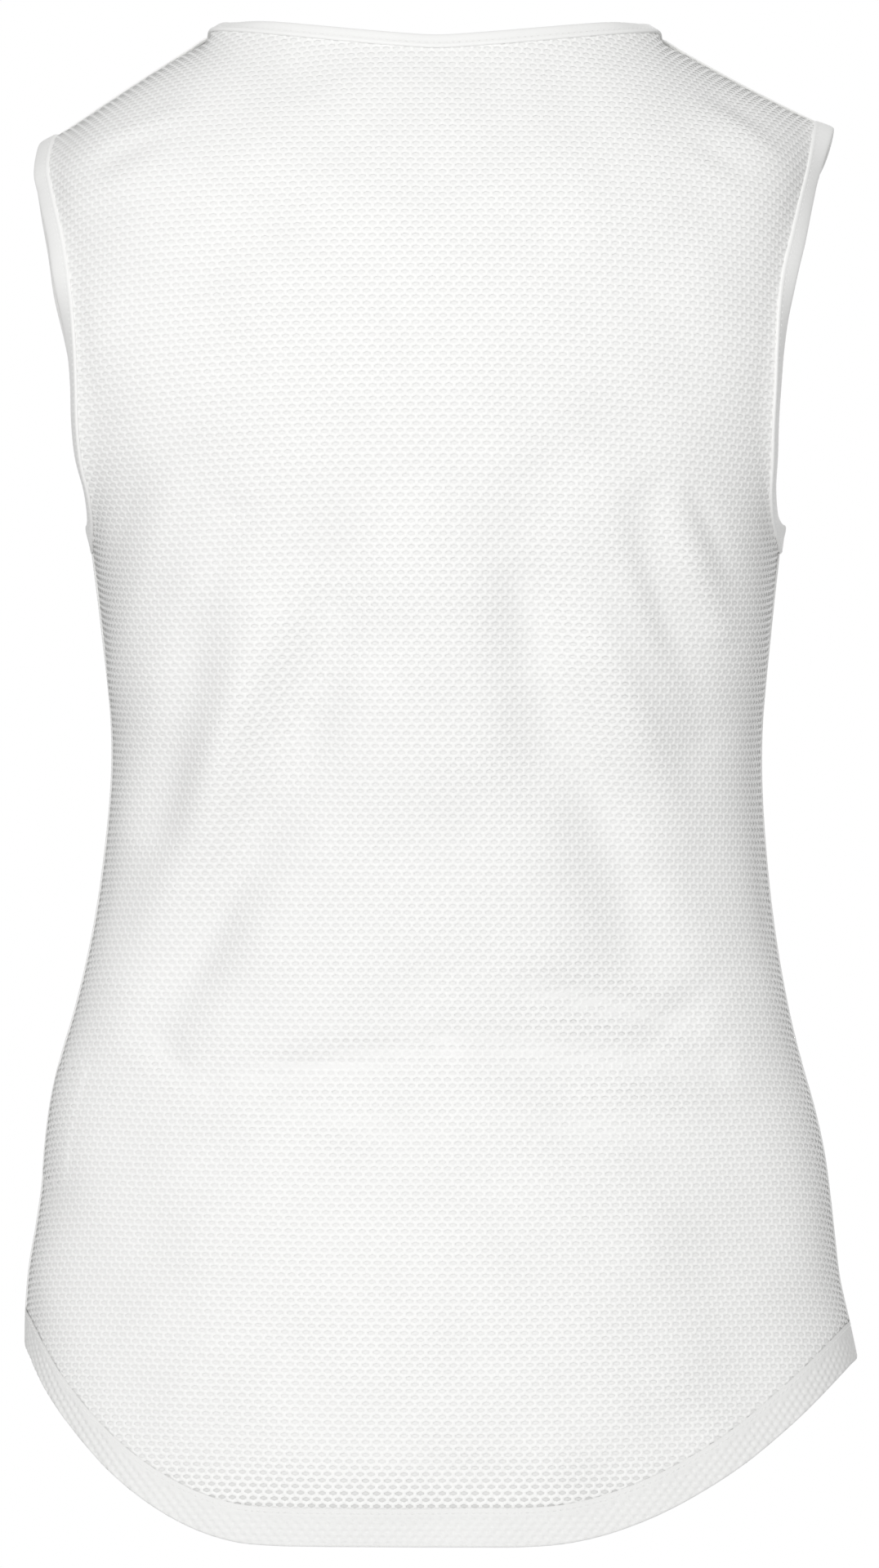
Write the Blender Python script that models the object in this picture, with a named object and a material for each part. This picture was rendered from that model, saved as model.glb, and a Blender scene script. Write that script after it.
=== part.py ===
"""A cycling tank top of honeycomb mesh, in the hollow form that it has when it is worn.

The garment is upright with +Z up. Its front faces -Y and its back +Y, so the wearer's left is +X. The origin
is on the centre plane, level with the middle of the shoulders. All sizes are millimetres until mesh_object
turns them into metres.

A panel is a grid of points on the middle of the cloth: its rows run from one side to the other and climb from
the hem to the shoulder, and its columns fan out from the centre line. Bindings are swept along the panels'
own edge points, and the label is made from the back panel's points, moved in.
"""

from math import acos, cos, hypot, pi, radians, sin

import bmesh
import bpy
import numpy as np

MM = 0.001

# Cloth
WALL = 1.5
HEM_WALL_EXTRA = 1.1
HEM_DEPTH = 14.0
HEM_STEP = 1.0
SEAM_GAP = 0.3

# Lengths, as heights above and below the origin
UNDERARM = -214.0
HEM_LEFT, HEM_RIGHT = -566.0, -572.0
BACK_HEM, FRONT_HEM = -645.0, -622.0
TAIL_LEFT, TAIL_RIGHT = (0.26, 1.0), (0.13, 0.93)
UNDERARM_ROW_RISE = 6.0

HEM_BAND_TOP = (HEM_DEPTH + HEM_STEP) / (UNDERARM - HEM_LEFT)

# Grid
HALF_COLUMNS = 16
NECK_COLUMN = 8
BODY_ROWS = 18
ARMHOLE_ROWS = 12
YOKE_ROWS = 6
RELAX_ROUNDS = 6

# Bindings
NECK_BAND, NECK_BAND_WALL = 5.6, 2.4
ARM_BAND, ARM_BAND_WALL = 7.8, 2.3
BAND_CORNER = 0.7
# How much thicker a binding is where its ends are joined
JOIN_SWELL_LEFT, JOIN_SWELL_RIGHT = 0.1, 0.7
# How far a binding turns from the cloth's own direction: an armhole's lower half faces the side, and the
# neck's ends lie along the shoulders
ARM_LEAN, ARM_LEAN_FROM, ARM_LEAN_SPAN = 3.0, -85.0, 70.0
NECK_LEAN, NECK_LEAN_SPAN = 1.3, 14.0

# Half-widths at the side seams
OUTLINE_COLUMNS = ("height", "left", "right")
OUTLINE = (
    (-660, 183.5, 187.0),
    (-570, 183.5, 186.5),
    (-540, 182.5, 179.7),
    (-500, 176.4, 175.0),
    (-470, 173.6, 170.3),
    (-448, 170.0, 164.2),
    (-422, 162.6, 157.6),
    (-390, 154.8, 151.6),
    (-350, 148.4, 146.8),
    (-300, 144.8, 144.6),
    (-250, 149.2, 148.6),
    (-214, 153.6, 152.4),
)

# How deep the form is at the middle of the back and of the front and at the sides. Square is the section's
# shape: 1 is an ellipse, and less is flatter with a tighter turn into the side
PROFILE_COLUMNS = ("height", "back", "front", "side", "square")
PROFILE = (
    (-660, 108, -101, 0, 0.80),
    (-600, 110, -103, 0, 0.80),
    (-550, 107, -104, 0, 0.80),
    (-505, 98, -103, -2, 0.80),
    (-468, 88.5, -101, -3, 0.80),
    (-436, 84, -100, -4, 0.80),
    (-400, 84.5, -99, -4, 0.80),
    (-350, 88, -102, -4, 0.80),
    (-300, 94, -109, -4, 0.78),
    (-240, 100, -115, -3, 0.72),
    (-200, 102, -113, -2, 0.64),
    (-150, 101, -102, -2, 0.56),
    (-100, 95, -86, -2, 0.56),
    (-60, 85, -72, -2, 0.58),
    (-20, 70, -58, -2, 0.60),
)

# The panels' edges round the armholes, from the underarm up to the start of the shoulder
ARMHOLE_COLUMNS = ("height", "left", "right", "back", "front")
ARMHOLE = (
    (-214.0, 153.6, 152.4, -2, -2),
    (-211.0, 153.4, 152.1, 13, -16),
    (-204.0, 152.4, 149.0, 28, -30),
    (-193.0, 152.8, 147.0, 41, -42),
    (-178.0, 156.0, 147.1, 51, -51),
    (-160.0, 157.6, 147.3, 57.5, -57),
    (-138.0, 158.0, 148.3, 60.5, -60),
    (-116.0, 159.3, 149.2, 59.5, -58),
    (-96.0, 161.6, 151.3, 54, -53),
    (-78.0, 164.6, 155.6, 46, -45),
    (-62.0, 168.6, 159.6, 36.5, -36),
    (-48.0, 172.0, 163.4, 26, -27),
)
# How far the front's edge stands wider than the back's, just over half way up. Skew moves the widest place up
FRONT_EDGE_OUT_LEFT, FRONT_EDGE_OUT_RIGHT = 5.0, -4.0
FRONT_EDGE_SKEW = 1.3

# The shoulder's crest, from its neck end to its tip, and the seam just in front of it
CREST_Y, CREST_RADIUS = 5.0, 30.0
SEAM_Y = -10.0
SHOULDER_COLUMNS = ("side", "neck_x", "neck_z", "tip_x", "tip_z", "bulge")
SHOULDER = (
    (1, 102.5, 19.6, 170.0, -24.6, 0.6),
    (-1, 100.5, 18.8, 170.0, -18.4, -1.0),
)

# The middle of each neckline, and how late its curve climbs to the shoulder. Early is the share of the
# front's climb that follows the curve's own arc
BACK_NECK_DEPTH, BACK_NECK_Z = 49.0, 7.0
BACK_NECK_CLIMB = 1.4
FRONT_NECK_DEPTH, FRONT_NECK_Z = -84.0, -101.0
FRONT_NECK_TURN, FRONT_NECK_CLIMB, FRONT_NECK_EARLY = 1.35, 1.5, 0.25

# How strongly the cloth keeps its direction on its way over the shoulder
YOKE_FULLNESS = 0.8

# The highest row that follows the body's sections, at the centre line
BACK_YOKE_START, FRONT_YOKE_START = -62.0, -136.0

# The largest folds. Across and height place each end, width is to where it fades, and depth is negative for
# a trough
FOLD_COLUMNS = ("across", "height", "to_across", "to_height", "width", "depth")
BACK_FOLDS = (
    (50, -245, 122, -428, 17, -2.6),
    (74, -250, 140, -405, 14, 1.8),
    (88, -200, 130, -335, 12, -1.8),
    (-38, -232, -88, -362, 16, -2.2),
    (-90, -196, -120, -296, 13, -2.0),
    (-104, -190, -126, -250, 9, 1.6),
    (96, -446, -2, -430, 13, -2.6),
    (-4, -430, -122, -440, 13, -2.4),
    (-70, -452, -92, -446, 14, 1.6),
    (-42, -406, -112, -424, 11, -1.4),
)
FRONT_FOLDS = (
    (60, -236, 118, -398, 17, -2.4),
    (92, -246, 136, -372, 13, 1.6),
    (-52, -248, -104, -416, 16, -2.4),
    (-86, -240, -128, -352, 13, 1.7),
    (104, -442, 10, -428, 14, -2.2),
    (-14, -434, -112, -446, 13, -2.4),
    (40, -112, 22, -186, 13, -1.6),
    (-34, -112, -14, -178, 12, -1.6),
)

# How deep a fold still is at its ends, and how steep its sides are
FOLD_END_DEPTH = 0.55
FOLD_STEEPNESS = 1.6

# The care label: from and wide are measured in from the back panel's left edge
LABEL_TOP, LABEL_BOTTOM = -441.0, -493.0
LABEL_FROM, LABEL_WIDE = 4.0, 40.0
LABEL_WALL = 1.0
LABEL_CLEARANCE = 3 * SEAM_GAP
LABEL_ACROSS, LABEL_ROWS = 5, 4

SHARP_ANGLE = radians(40)

CLOTH_WHITE = (0.87, 0.87, 0.85)
BINDING_WHITE = (0.90, 0.90, 0.89)
LABEL_WHITE = (0.93, 0.93, 0.92)


def named(table, columns):
    """The table as a dictionary from each column's name to its values."""
    return dict(zip(columns, np.array(table, float).T))


def spline(knots, values, at):
    """A smooth curve through the values at these rising knots, in cubic pieces."""
    knots, values = np.asarray(knots, float), np.asarray(values, float)
    steps = np.diff(knots)
    rises = np.diff(values, axis=0)
    slopes = rises / (steps if values.ndim == 1 else steps[:, None])
    tangents = np.empty_like(values)
    tangents[0], tangents[-1] = slopes[0], slopes[-1]
    for i in range(1, len(knots) - 1):
        before, after = steps[i - 1], steps[i]
        tangents[i] = (slopes[i - 1] * after + slopes[i] * before) / (before + after)
    i = int(np.clip(np.searchsorted(knots, at) - 1, 0, len(steps) - 1))
    t = (at - knots[i]) / steps[i]
    return hermite(values[i], tangents[i] * steps[i], values[i + 1], tangents[i + 1] * steps[i], t)


def hermite(start, start_slope, end, end_slope, t):
    """The cubic curve between two points that leaves and arrives with these slopes."""
    return (
        (2 * t**3 - 3 * t**2 + 1) * start
        + (t**3 - 2 * t**2 + t) * start_slope
        + (3 * t**2 - 2 * t**3) * end
        + (t**3 - t**2) * end_slope
    )


def smooth(t):
    """An S-curve from 0 to 1, flat at both ends."""
    t = min(max(t, 0.0), 1.0)
    return t * t * (3 - 2 * t)


def unit(v):
    return v / np.linalg.norm(v)


OUTLINES = named(OUTLINE, OUTLINE_COLUMNS)
PROFILES = named(PROFILE, PROFILE_COLUMNS)
ARMHOLES = named(ARMHOLE, ARMHOLE_COLUMNS)
SHOULDERS = {row[0]: dict(zip(SHOULDER_COLUMNS, row)) for row in SHOULDER}


def outline(side, z):
    """The half-width at a side seam: side is 1 for the wearer's left and -1 for the right."""
    return spline(OUTLINES["height"], OUTLINES["left" if side > 0 else "right"], z)


def profile(face, z):
    return spline(PROFILES["height"], PROFILES[face], z)


def armhole_point(face, side, share):
    """A point of the panel's armhole edge, from the underarm at share 0 to the start of the shoulder at 1."""
    wide = ARMHOLES["left" if side > 0 else "right"].copy()
    if face == "front":
        out = FRONT_EDGE_OUT_LEFT if side > 0 else FRONT_EDGE_OUT_RIGHT
        climb = (ARMHOLES["height"] - UNDERARM) / (ARMHOLES["height"][-1] - UNDERARM)
        wide += out * np.sin(pi * climb**FRONT_EDGE_SKEW)
    points = np.array([side * wide, ARMHOLES[face], ARMHOLES["height"]]).T
    lengths = np.concatenate([[0], np.cumsum(np.linalg.norm(np.diff(points, axis=0), axis=1))])
    return spline(lengths, points, share * lengths[-1])


def section_point(face, side, share, edge, z):
    """A point of a section that ends at edge: share is 0 at the centre line and 1 at the edge."""
    square = profile("square", edge[2])
    aside = profile("side", z)
    edge_aside = profile("side", edge[2])
    reach = (edge[1] - edge_aside) / (profile(face, edge[2]) - edge_aside)
    turn = acos(min(max(reach, 0.0), 1.0) ** (1 / square))
    angle = share * turn
    x = abs(edge[0]) * sin(angle) / sin(turn)
    y = aside + (profile(face, z) - aside) * cos(angle) ** square
    if share == 1:
        y = edge[1]
    return np.array([side * x, y, z])


def body_levels():
    """For each row from the hem to the underarm, how far up it is: 0 is the hem and 1 the underarm."""
    climb = [HEM_BAND_TOP + (1 - HEM_BAND_TOP) * i / BODY_ROWS for i in range(BODY_ROWS + 1)]
    return [0, HEM_DEPTH / (UNDERARM - HEM_LEFT), *climb]


def body_row(face, side, level):
    """The share-to-point function of a row between the hem and the underarm."""
    hem_edge = HEM_LEFT if side > 0 else HEM_RIGHT
    hem_mid = BACK_HEM if face == "back" else FRONT_HEM
    tail_start, tail_end = TAIL_LEFT if side > 0 else TAIL_RIGHT
    up = (UNDERARM - hem_edge) * level
    spread = max(0.0, (level - HEM_BAND_TOP) / (1 - HEM_BAND_TOP))

    def at(share):
        tail = smooth((share - tail_start) / (tail_end - tail_start))
        hem = hem_mid + (hem_edge - hem_mid) * tail
        top = UNDERARM + UNDERARM_ROW_RISE * (1 - share**2)
        z = hem + up + (top - hem - UNDERARM + hem_edge) * spread
        z_edge = hem_edge + up
        edge = np.array([side * outline(side, z_edge), profile("side", z_edge), z_edge])
        return section_point(face, side, share, edge, z)

    return at


def armhole_row(face, side, climb):
    """The same for a row between the underarm and the start of the shoulder."""
    edge = armhole_point(face, side, climb)
    start = UNDERARM + UNDERARM_ROW_RISE
    end = BACK_YOKE_START if face == "back" else FRONT_YOKE_START
    mid = start + (end - start) * climb

    def at(share):
        z = mid + (edge[2] - mid) * share**2
        return section_point(face, side, share, edge, z)

    return at


def crest_drop(y):
    """How far the cloth falls in front of the shoulder's crest."""
    return max(0.0, CREST_Y - y) ** 2 / (2 * CREST_RADIUS)


def top_point(face, side, column):
    """The panel's top edge: the neckline, then the shoulder seam."""
    shoulder = SHOULDERS[side]
    neck = np.array([side * shoulder["neck_x"], SEAM_Y, shoulder["neck_z"] - crest_drop(SEAM_Y)])
    tip = np.array([side * shoulder["tip_x"], SEAM_Y, shoulder["tip_z"] - crest_drop(SEAM_Y)])
    if column >= NECK_COLUMN:
        out = (column - NECK_COLUMN) / (HALF_COLUMNS - NECK_COLUMN)
        bulge = np.array([0, 0, shoulder["bulge"] * sin(pi * out)])
        return neck + (tip - neck) * out + bulge
    part = column / NECK_COLUMN
    turn = part * pi / 2
    if face == "back":
        y = SEAM_Y + (BACK_NECK_DEPTH - SEAM_Y) * cos(turn)
        climb = sin(turn) ** BACK_NECK_CLIMB
        z = BACK_NECK_Z + (shoulder["neck_z"] - BACK_NECK_Z) * climb - crest_drop(y)
    else:
        rise = 1 - cos(turn)
        y = FRONT_NECK_DEPTH + (SEAM_Y - FRONT_NECK_DEPTH) * rise**FRONT_NECK_TURN
        climb = FRONT_NECK_EARLY * rise + (1 - FRONT_NECK_EARLY) * smooth(part) ** FRONT_NECK_CLIMB
        z = FRONT_NECK_Z + (neck[2] - FRONT_NECK_Z) * climb
    return np.array([neck[0] * sin(turn), y, z])


def half_grid(face, side):
    """The points of one half of a panel, as rows of columns from the centre line out."""
    shares = [c / HALF_COLUMNS for c in range(HALF_COLUMNS + 1)]
    rows = [[body_row(face, side, level)(s) for s in shares] for level in body_levels()]
    climbs = [(i + 1) / ARMHOLE_ROWS for i in range(ARMHOLE_ROWS)]
    rows += [[armhole_row(face, side, climb)(s) for s in shares] for climb in climbs]
    below = [np.array(rows[-2]), np.array(rows[-1])]
    for row in range(1, YOKE_ROWS + 1):
        points = []
        for column in range(HALF_COLUMNS + 1):
            start = below[1][column]
            end = top_point(face, side, column)
            onward = -1 if face == "back" else 1
            heading = unit(np.array([0, onward, onward * (CREST_Y - end[1]) / CREST_RADIUS]))
            long = np.linalg.norm(end - start) * YOKE_FULLNESS
            leaving = unit(start - below[0][column])
            points.append(hermite(start, leaving * long, end, heading * long, row / YOKE_ROWS))
        rows.append(points)
    return np.array(rows)


def fold_push(folds, x, z):
    """How far the folds move the cloth out at this place."""
    push = 0.0
    for fold in folds:
        f = dict(zip(FOLD_COLUMNS, fold))
        along = np.array([f["to_across"] - f["across"], f["to_height"] - f["height"]])
        offset = np.array([x - f["across"], z - f["height"]])
        long = hypot(*along)
        share = float(offset @ along) / long**2
        aside = (offset[0] * along[1] - offset[1] * along[0]) / long
        past = max(0.0, -share, share - 1) * long
        middle = sin(pi * min(max(share, 0), 1))
        fade = smooth(1 - past / f["width"]) * (FOLD_END_DEPTH + (1 - FOLD_END_DEPTH) * middle)
        push += f["depth"] * fade * np.exp(-FOLD_STEEPNESS * (aside / f["width"]) ** 2)
    return push


def relaxed(grid, first_row):
    """The grid from this row up with its inner points eased toward their neighbours."""
    out = grid.copy()
    for _ in range(RELAX_ROUNDS):
        near = out[first_row - 1 : -2, 1:-1] + out[first_row + 1 :, 1:-1]
        near = near + out[first_row:-1, :-2] + out[first_row:-1, 2:]
        out[first_row:-1, 1:-1] += (near / 4 - out[first_row:-1, 1:-1]) / 2
    return out


def grid_normals(grid, outward):
    """The cloth's direction at each point, out of the garment."""
    along = np.gradient(grid, axis=1)
    up = np.gradient(grid, axis=0)
    normals = np.cross(along, up) * outward
    return normals / np.linalg.norm(normals, axis=2, keepdims=True)


def panel_grid(face):
    """(points, normals) of a whole panel, column 0 on the wearer's right."""
    right, left = half_grid(face, -1), half_grid(face, 1)
    grid = np.concatenate([right[:, :0:-1], left], axis=1)
    grid = relaxed(grid, len(body_levels()) - 3)
    outward = -1 if face == "back" else 1
    folds = BACK_FOLDS if face == "back" else FRONT_FOLDS
    normals = grid_normals(grid, outward)
    push = np.array([[fold_push(folds, p[0], p[2]) for p in row] for row in grid])
    edges = np.ones(grid.shape[1])
    edges[[0, -1]] = 0
    edges[[1, -2]] = 0.5
    push *= edges[None, :]
    push[-1] = 0
    grid = grid + normals * push[:, :, None]
    return grid, grid_normals(grid, outward)


def join_normals(back, front):
    """Gives both panels the same direction where they meet, at the side seams and the shoulder seams."""
    last_body_row = len(body_levels()) - 1
    for column in (0, -1):
        for row in range(last_body_row + 1):
            shared = unit(back[row, column] + front[row, column])
            back[row, column] = front[row, column] = shared
    inner = HALF_COLUMNS - NECK_COLUMN
    for column in list(range(inner + 1)) + list(range(-inner - 1, 0)):
        shared = unit(back[-1, column] + front[-1, column])
        back[-1, column] = front[-1, column] = shared


def parted(grid):
    """The grid with its seam edges drawn back by half of the seam gap."""
    out = grid.copy()
    last_body_row = len(body_levels()) - 1
    for column, inside in ((0, 1), (-1, -2)):
        for row in range(last_body_row + 1):
            out[row, column] += unit(grid[row, inside] - grid[row, column]) * SEAM_GAP / 2
    inner = HALF_COLUMNS - NECK_COLUMN
    for column in list(range(inner + 1)) + list(range(-inner - 1, 0)):
        out[-1, column] += unit(grid[-2, column] - grid[-1, column]) * SEAM_GAP / 2
    return out


def material(name, colour, roughness):
    made = bpy.data.materials.new(name)
    made.use_nodes = True
    shader = made.node_tree.nodes["Principled BSDF"]
    shader.inputs["Base Color"].default_value = (*colour, 1)
    shader.inputs["Roughness"].default_value = roughness
    shader.inputs["Metallic"].default_value = 0
    return made


def mesh_object(name, vertices, faces, finish):
    mesh = bpy.data.meshes.new(name)
    mesh.from_pydata([tuple(v * MM) for v in vertices], [], faces)
    work = bmesh.new()
    work.from_mesh(mesh)
    bmesh.ops.triangulate(work, faces=work.faces, quad_method="SHORT_EDGE")
    bmesh.ops.recalc_face_normals(work, faces=work.faces)
    work.to_mesh(mesh)
    work.free()
    mesh.shade_smooth()
    mesh.set_sharp_from_angle(angle=SHARP_ANGLE)
    mesh.materials.append(finish)
    made = bpy.data.objects.new(name, mesh)
    bpy.context.scene.collection.objects.link(made)
    return made


def sheet_object(name, outer, inner, finish):
    """A closed wall between two grids of the same size."""
    rows, columns = outer.shape[:2]
    vertices = list(outer.reshape(-1, 3)) + list(inner.reshape(-1, 3))
    far = rows * columns
    faces = []

    def at(row, column):
        return row * columns + column

    for r in range(rows - 1):
        for c in range(columns - 1):
            quad = (at(r, c), at(r, c + 1), at(r + 1, c + 1), at(r + 1, c))
            faces.append(quad)
            faces.append(tuple(far + v for v in reversed(quad)))
    rim = [at(0, c) for c in range(columns)]
    rim += [at(r, columns - 1) for r in range(1, rows)]
    rim += [at(rows - 1, c) for c in range(columns - 2, -1, -1)]
    rim += [at(r, 0) for r in range(rows - 2, 0, -1)]
    for a, b in zip(rim, rim[1:] + rim[:1]):
        faces.append((b, a, far + a, far + b))
    return mesh_object(name, vertices, faces, finish)


def panel_object(name, grid, normals, finish):
    """The panel's wall, thicker on its inside where the hem is turned up."""
    outer = grid + normals * WALL / 2
    inner = grid - normals * WALL / 2
    inner[:2] -= normals[:2] * HEM_WALL_EXTRA
    return sheet_object(name, outer, inner, finish)


def band_object(name, points, cloth, normals, wide, wall, swell, finish):
    """A folded strip that goes on from the panels' edge, as a rounded section swept round the opening.

    Cloth is the panels' direction at each point and normals the strip's. Swell is how much thicker it is.
    """
    deep = wall / 2
    outward = ways_out(points, normals)
    turn = np.arccos(np.clip(np.einsum("ij,ij->i", cloth, normals), 0, 1))
    gaps = (SEAM_GAP + deep * np.sin(turn)) / np.cos(turn)
    corner = deep * BAND_CORNER
    section = (
        (0, deep),
        (wide / 2, deep),
        (wide - corner, deep),
        (wide, deep - corner),
        (wide, corner - deep),
        (wide - corner, -deep),
        (wide / 2, -deep),
        (0, -deep),
    )
    vertices, faces = [], []
    sides = len(section)
    for i, point in enumerate(points):
        more = 1 + swell[i]
        for out, lift in section:
            vertices.append(point + outward[i] * (gaps[i] + out) + normals[i] * lift * more)
    for i in range(len(points)):
        j = (i + 1) % len(points)
        for k in range(sides):
            n = (k + 1) % sides
            faces.append((i * sides + k, j * sides + k, j * sides + n, i * sides + n))
    return mesh_object(name, vertices, faces, finish)


def edge_loop(back, front, back_at, front_at):
    """(points, normals) of a closed loop along both panels' edges, with one point where they share a seam."""
    points, normals = (
        np.array([back[kind][at] for at in back_at] + [front[kind][at] for at in front_at]) for kind in (0, 1)
    )
    return points, normals


def neck_loop(back, front):
    last_row = len(back[0]) - 1
    first = HALF_COLUMNS - NECK_COLUMN
    last = HALF_COLUMNS + NECK_COLUMN
    back_at = [(last_row, column) for column in range(first, last + 1)]
    front_at = [(last_row, column) for column in range(last - 1, first, -1)]
    return edge_loop(back, front, back_at, front_at)


def armhole_loop(back, front, column):
    """The loop round an armhole. Its first point is at the underarm."""
    last_row = len(back[0]) - 1
    underarm_row = len(body_levels()) - 1
    back_at = [(row, column) for row in range(underarm_row, last_row + 1)]
    front_at = [(row, column) for row in range(last_row - 1, underarm_row, -1)]
    return edge_loop(back, front, back_at, front_at)


def ways_out(points, normals):
    """At each point of a loop, the direction in the cloth that leads off the panel into the opening."""
    middle = points.mean(axis=0)
    along = np.roll(points, -1, axis=0) - np.roll(points, 1, axis=0)
    out = np.cross(along, normals)
    out /= np.linalg.norm(out, axis=1, keepdims=True)
    toward = np.einsum("ij,ij->i", out, middle - points).sum()
    return out if toward > 0 else -out


def leaned(normals, weights, toward):
    """The directions, each turned toward another one by its weight."""
    turned = normals + weights[:, None] * np.array(toward)
    return turned / np.linalg.norm(turned, axis=1, keepdims=True)


def neck_lean(points):
    from_end = np.abs(points[:, 0]) - (SHOULDERS[1]["neck_x"] + SHOULDERS[-1]["neck_x"]) / 2
    return NECK_LEAN * np.exp(-((from_end / NECK_LEAN_SPAN) ** 2))


def armhole_lean(points):
    return ARM_LEAN * np.array([smooth((ARM_LEAN_FROM - z) / ARM_LEAN_SPAN) for z in points[:, 2]])


def label_object(grid, normals, finish):
    """The blank label against the back panel's inside, from the left side seam in."""
    heights = [LABEL_BOTTOM + (LABEL_TOP - LABEL_BOTTOM) * i / LABEL_ROWS for i in range(LABEL_ROWS + 1)]
    rows, row_normals = [], []
    for z in heights:
        strip, strip_normals = [], []
        for column in range(grid.shape[1] - 1, HALF_COLUMNS, -1):
            path = grid[:, column]
            row = int(np.searchsorted(path[:, 2], z)) - 1
            t = (z - path[row, 2]) / (path[row + 1, 2] - path[row, 2])
            strip.append(path[row] * (1 - t) + path[row + 1] * t)
            strip_normals.append(unit(normals[row, column] * (1 - t) + normals[row + 1, column] * t))
        strip, strip_normals = np.array(strip), np.array(strip_normals)
        lengths = np.concatenate([[0], np.cumsum(np.linalg.norm(np.diff(strip, axis=0), axis=1))])
        wanted = [LABEL_FROM + LABEL_WIDE * i / LABEL_ACROSS for i in range(LABEL_ACROSS + 1)]
        rows.append([[np.interp(w, lengths, strip[:, k]) for k in range(3)] for w in wanted])
        row_normals.append([[np.interp(w, lengths, strip_normals[:, k]) for k in range(3)] for w in wanted])
    rows, row_normals = np.array(rows), np.array(row_normals)
    row_normals /= np.linalg.norm(row_normals, axis=2, keepdims=True)
    near = WALL / 2 + LABEL_CLEARANCE
    far = near + LABEL_WALL
    return sheet_object("care_label", rows - row_normals * near, rows - row_normals * far, finish)


def main():
    for existing in list(bpy.data.objects):
        bpy.data.objects.remove(existing)
    cloth = material("honeycomb_mesh", CLOTH_WHITE, 0.75)
    knit = material("binding_knit", BINDING_WHITE, 0.7)
    satin = material("label_satin", LABEL_WHITE, 0.5)

    back, back_normals = panel_grid("back")
    front, front_normals = panel_grid("front")
    join_normals(back_normals, front_normals)
    panel_object("back_panel", parted(back), back_normals, cloth)
    panel_object("front_panel", parted(front), front_normals, cloth)
    label_object(back, back_normals, satin)

    panels = (back, back_normals), (front, front_normals)
    points, normals = neck_loop(*panels)
    no_swell = np.zeros(len(points))
    turned = leaned(normals, neck_lean(points), (0, 0, 1))
    band_object("neck_binding", points, normals, turned, NECK_BAND, NECK_BAND_WALL, no_swell, knit)
    armholes = (("left", 1, -1, JOIN_SWELL_LEFT), ("right", -1, 0, JOIN_SWELL_RIGHT))
    for name, side, column, join_swell in armholes:
        points, normals = armhole_loop(*panels, column)
        swell = np.zeros(len(points))
        swell[0] = join_swell
        turned = leaned(normals, armhole_lean(points), (side, 0, 0))
        band_object("armhole_binding_" + name, points, normals, turned, ARM_BAND, ARM_BAND_WALL, swell, knit)


main()
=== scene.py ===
"""The looks of a cycling tank top of honeycomb mesh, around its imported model.

The form's tables and functions are the part's own, in millimetres, so that each shell lies on its solid. Each
panel is laid flat as a maker's pattern, and the mesh's holes are set out on that flat cloth. The web between
them is carried back onto the form. The bindings, hems and seam covers hide its cut edges.
"""

from math import acos, cos, hypot, pi, sin

import bpy
import numpy as np
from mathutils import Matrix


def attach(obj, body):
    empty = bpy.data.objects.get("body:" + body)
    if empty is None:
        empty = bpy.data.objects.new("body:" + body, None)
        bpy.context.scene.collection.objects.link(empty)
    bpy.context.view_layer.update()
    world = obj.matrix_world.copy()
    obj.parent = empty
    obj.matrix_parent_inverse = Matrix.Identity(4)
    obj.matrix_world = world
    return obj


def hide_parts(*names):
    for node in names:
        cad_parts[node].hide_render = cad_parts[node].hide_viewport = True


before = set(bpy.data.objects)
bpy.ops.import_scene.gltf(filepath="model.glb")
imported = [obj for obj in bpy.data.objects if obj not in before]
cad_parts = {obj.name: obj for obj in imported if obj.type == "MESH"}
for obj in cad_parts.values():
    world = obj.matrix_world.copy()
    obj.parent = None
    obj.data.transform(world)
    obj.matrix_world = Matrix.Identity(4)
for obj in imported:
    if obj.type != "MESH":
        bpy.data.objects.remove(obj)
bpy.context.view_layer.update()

MM = 0.001

# Cloth
HEM_DEPTH = 14.0
HEM_STEP = 1.0
SEAM_GAP = 0.3

# Lengths, as heights above and below the origin
UNDERARM = -214.0
HEM_LEFT, HEM_RIGHT = -566.0, -572.0
BACK_HEM, FRONT_HEM = -645.0, -622.0
TAIL_LEFT, TAIL_RIGHT = (0.26, 1.0), (0.13, 0.93)
UNDERARM_ROW_RISE = 6.0

HEM_BAND_TOP = (HEM_DEPTH + HEM_STEP) / (UNDERARM - HEM_LEFT)

# Grid
HALF_COLUMNS = 16
NECK_COLUMN = 8
BODY_ROWS = 18
ARMHOLE_ROWS = 12
YOKE_ROWS = 6
RELAX_ROUNDS = 6

# Bindings
NECK_BAND, NECK_BAND_WALL = 5.6, 2.4
ARM_BAND, ARM_BAND_WALL = 7.8, 2.3
# How much thicker a binding is where its ends are joined
JOIN_SWELL_LEFT, JOIN_SWELL_RIGHT = 0.1, 0.7
# How far a binding turns from the cloth's own direction: an armhole's lower half faces the side, and the
# neck's ends lie along the shoulders
ARM_LEAN, ARM_LEAN_FROM, ARM_LEAN_SPAN = 3.0, -85.0, 70.0
NECK_LEAN, NECK_LEAN_SPAN = 1.3, 14.0

# Half-widths at the side seams
OUTLINE_COLUMNS = ("height", "left", "right")
OUTLINE = (
    (-660, 183.5, 187.0),
    (-570, 183.5, 186.5),
    (-540, 182.5, 179.7),
    (-500, 176.4, 175.0),
    (-470, 173.6, 170.3),
    (-448, 170.0, 164.2),
    (-422, 162.6, 157.6),
    (-390, 154.8, 151.6),
    (-350, 148.4, 146.8),
    (-300, 144.8, 144.6),
    (-250, 149.2, 148.6),
    (-214, 153.6, 152.4),
)

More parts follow.
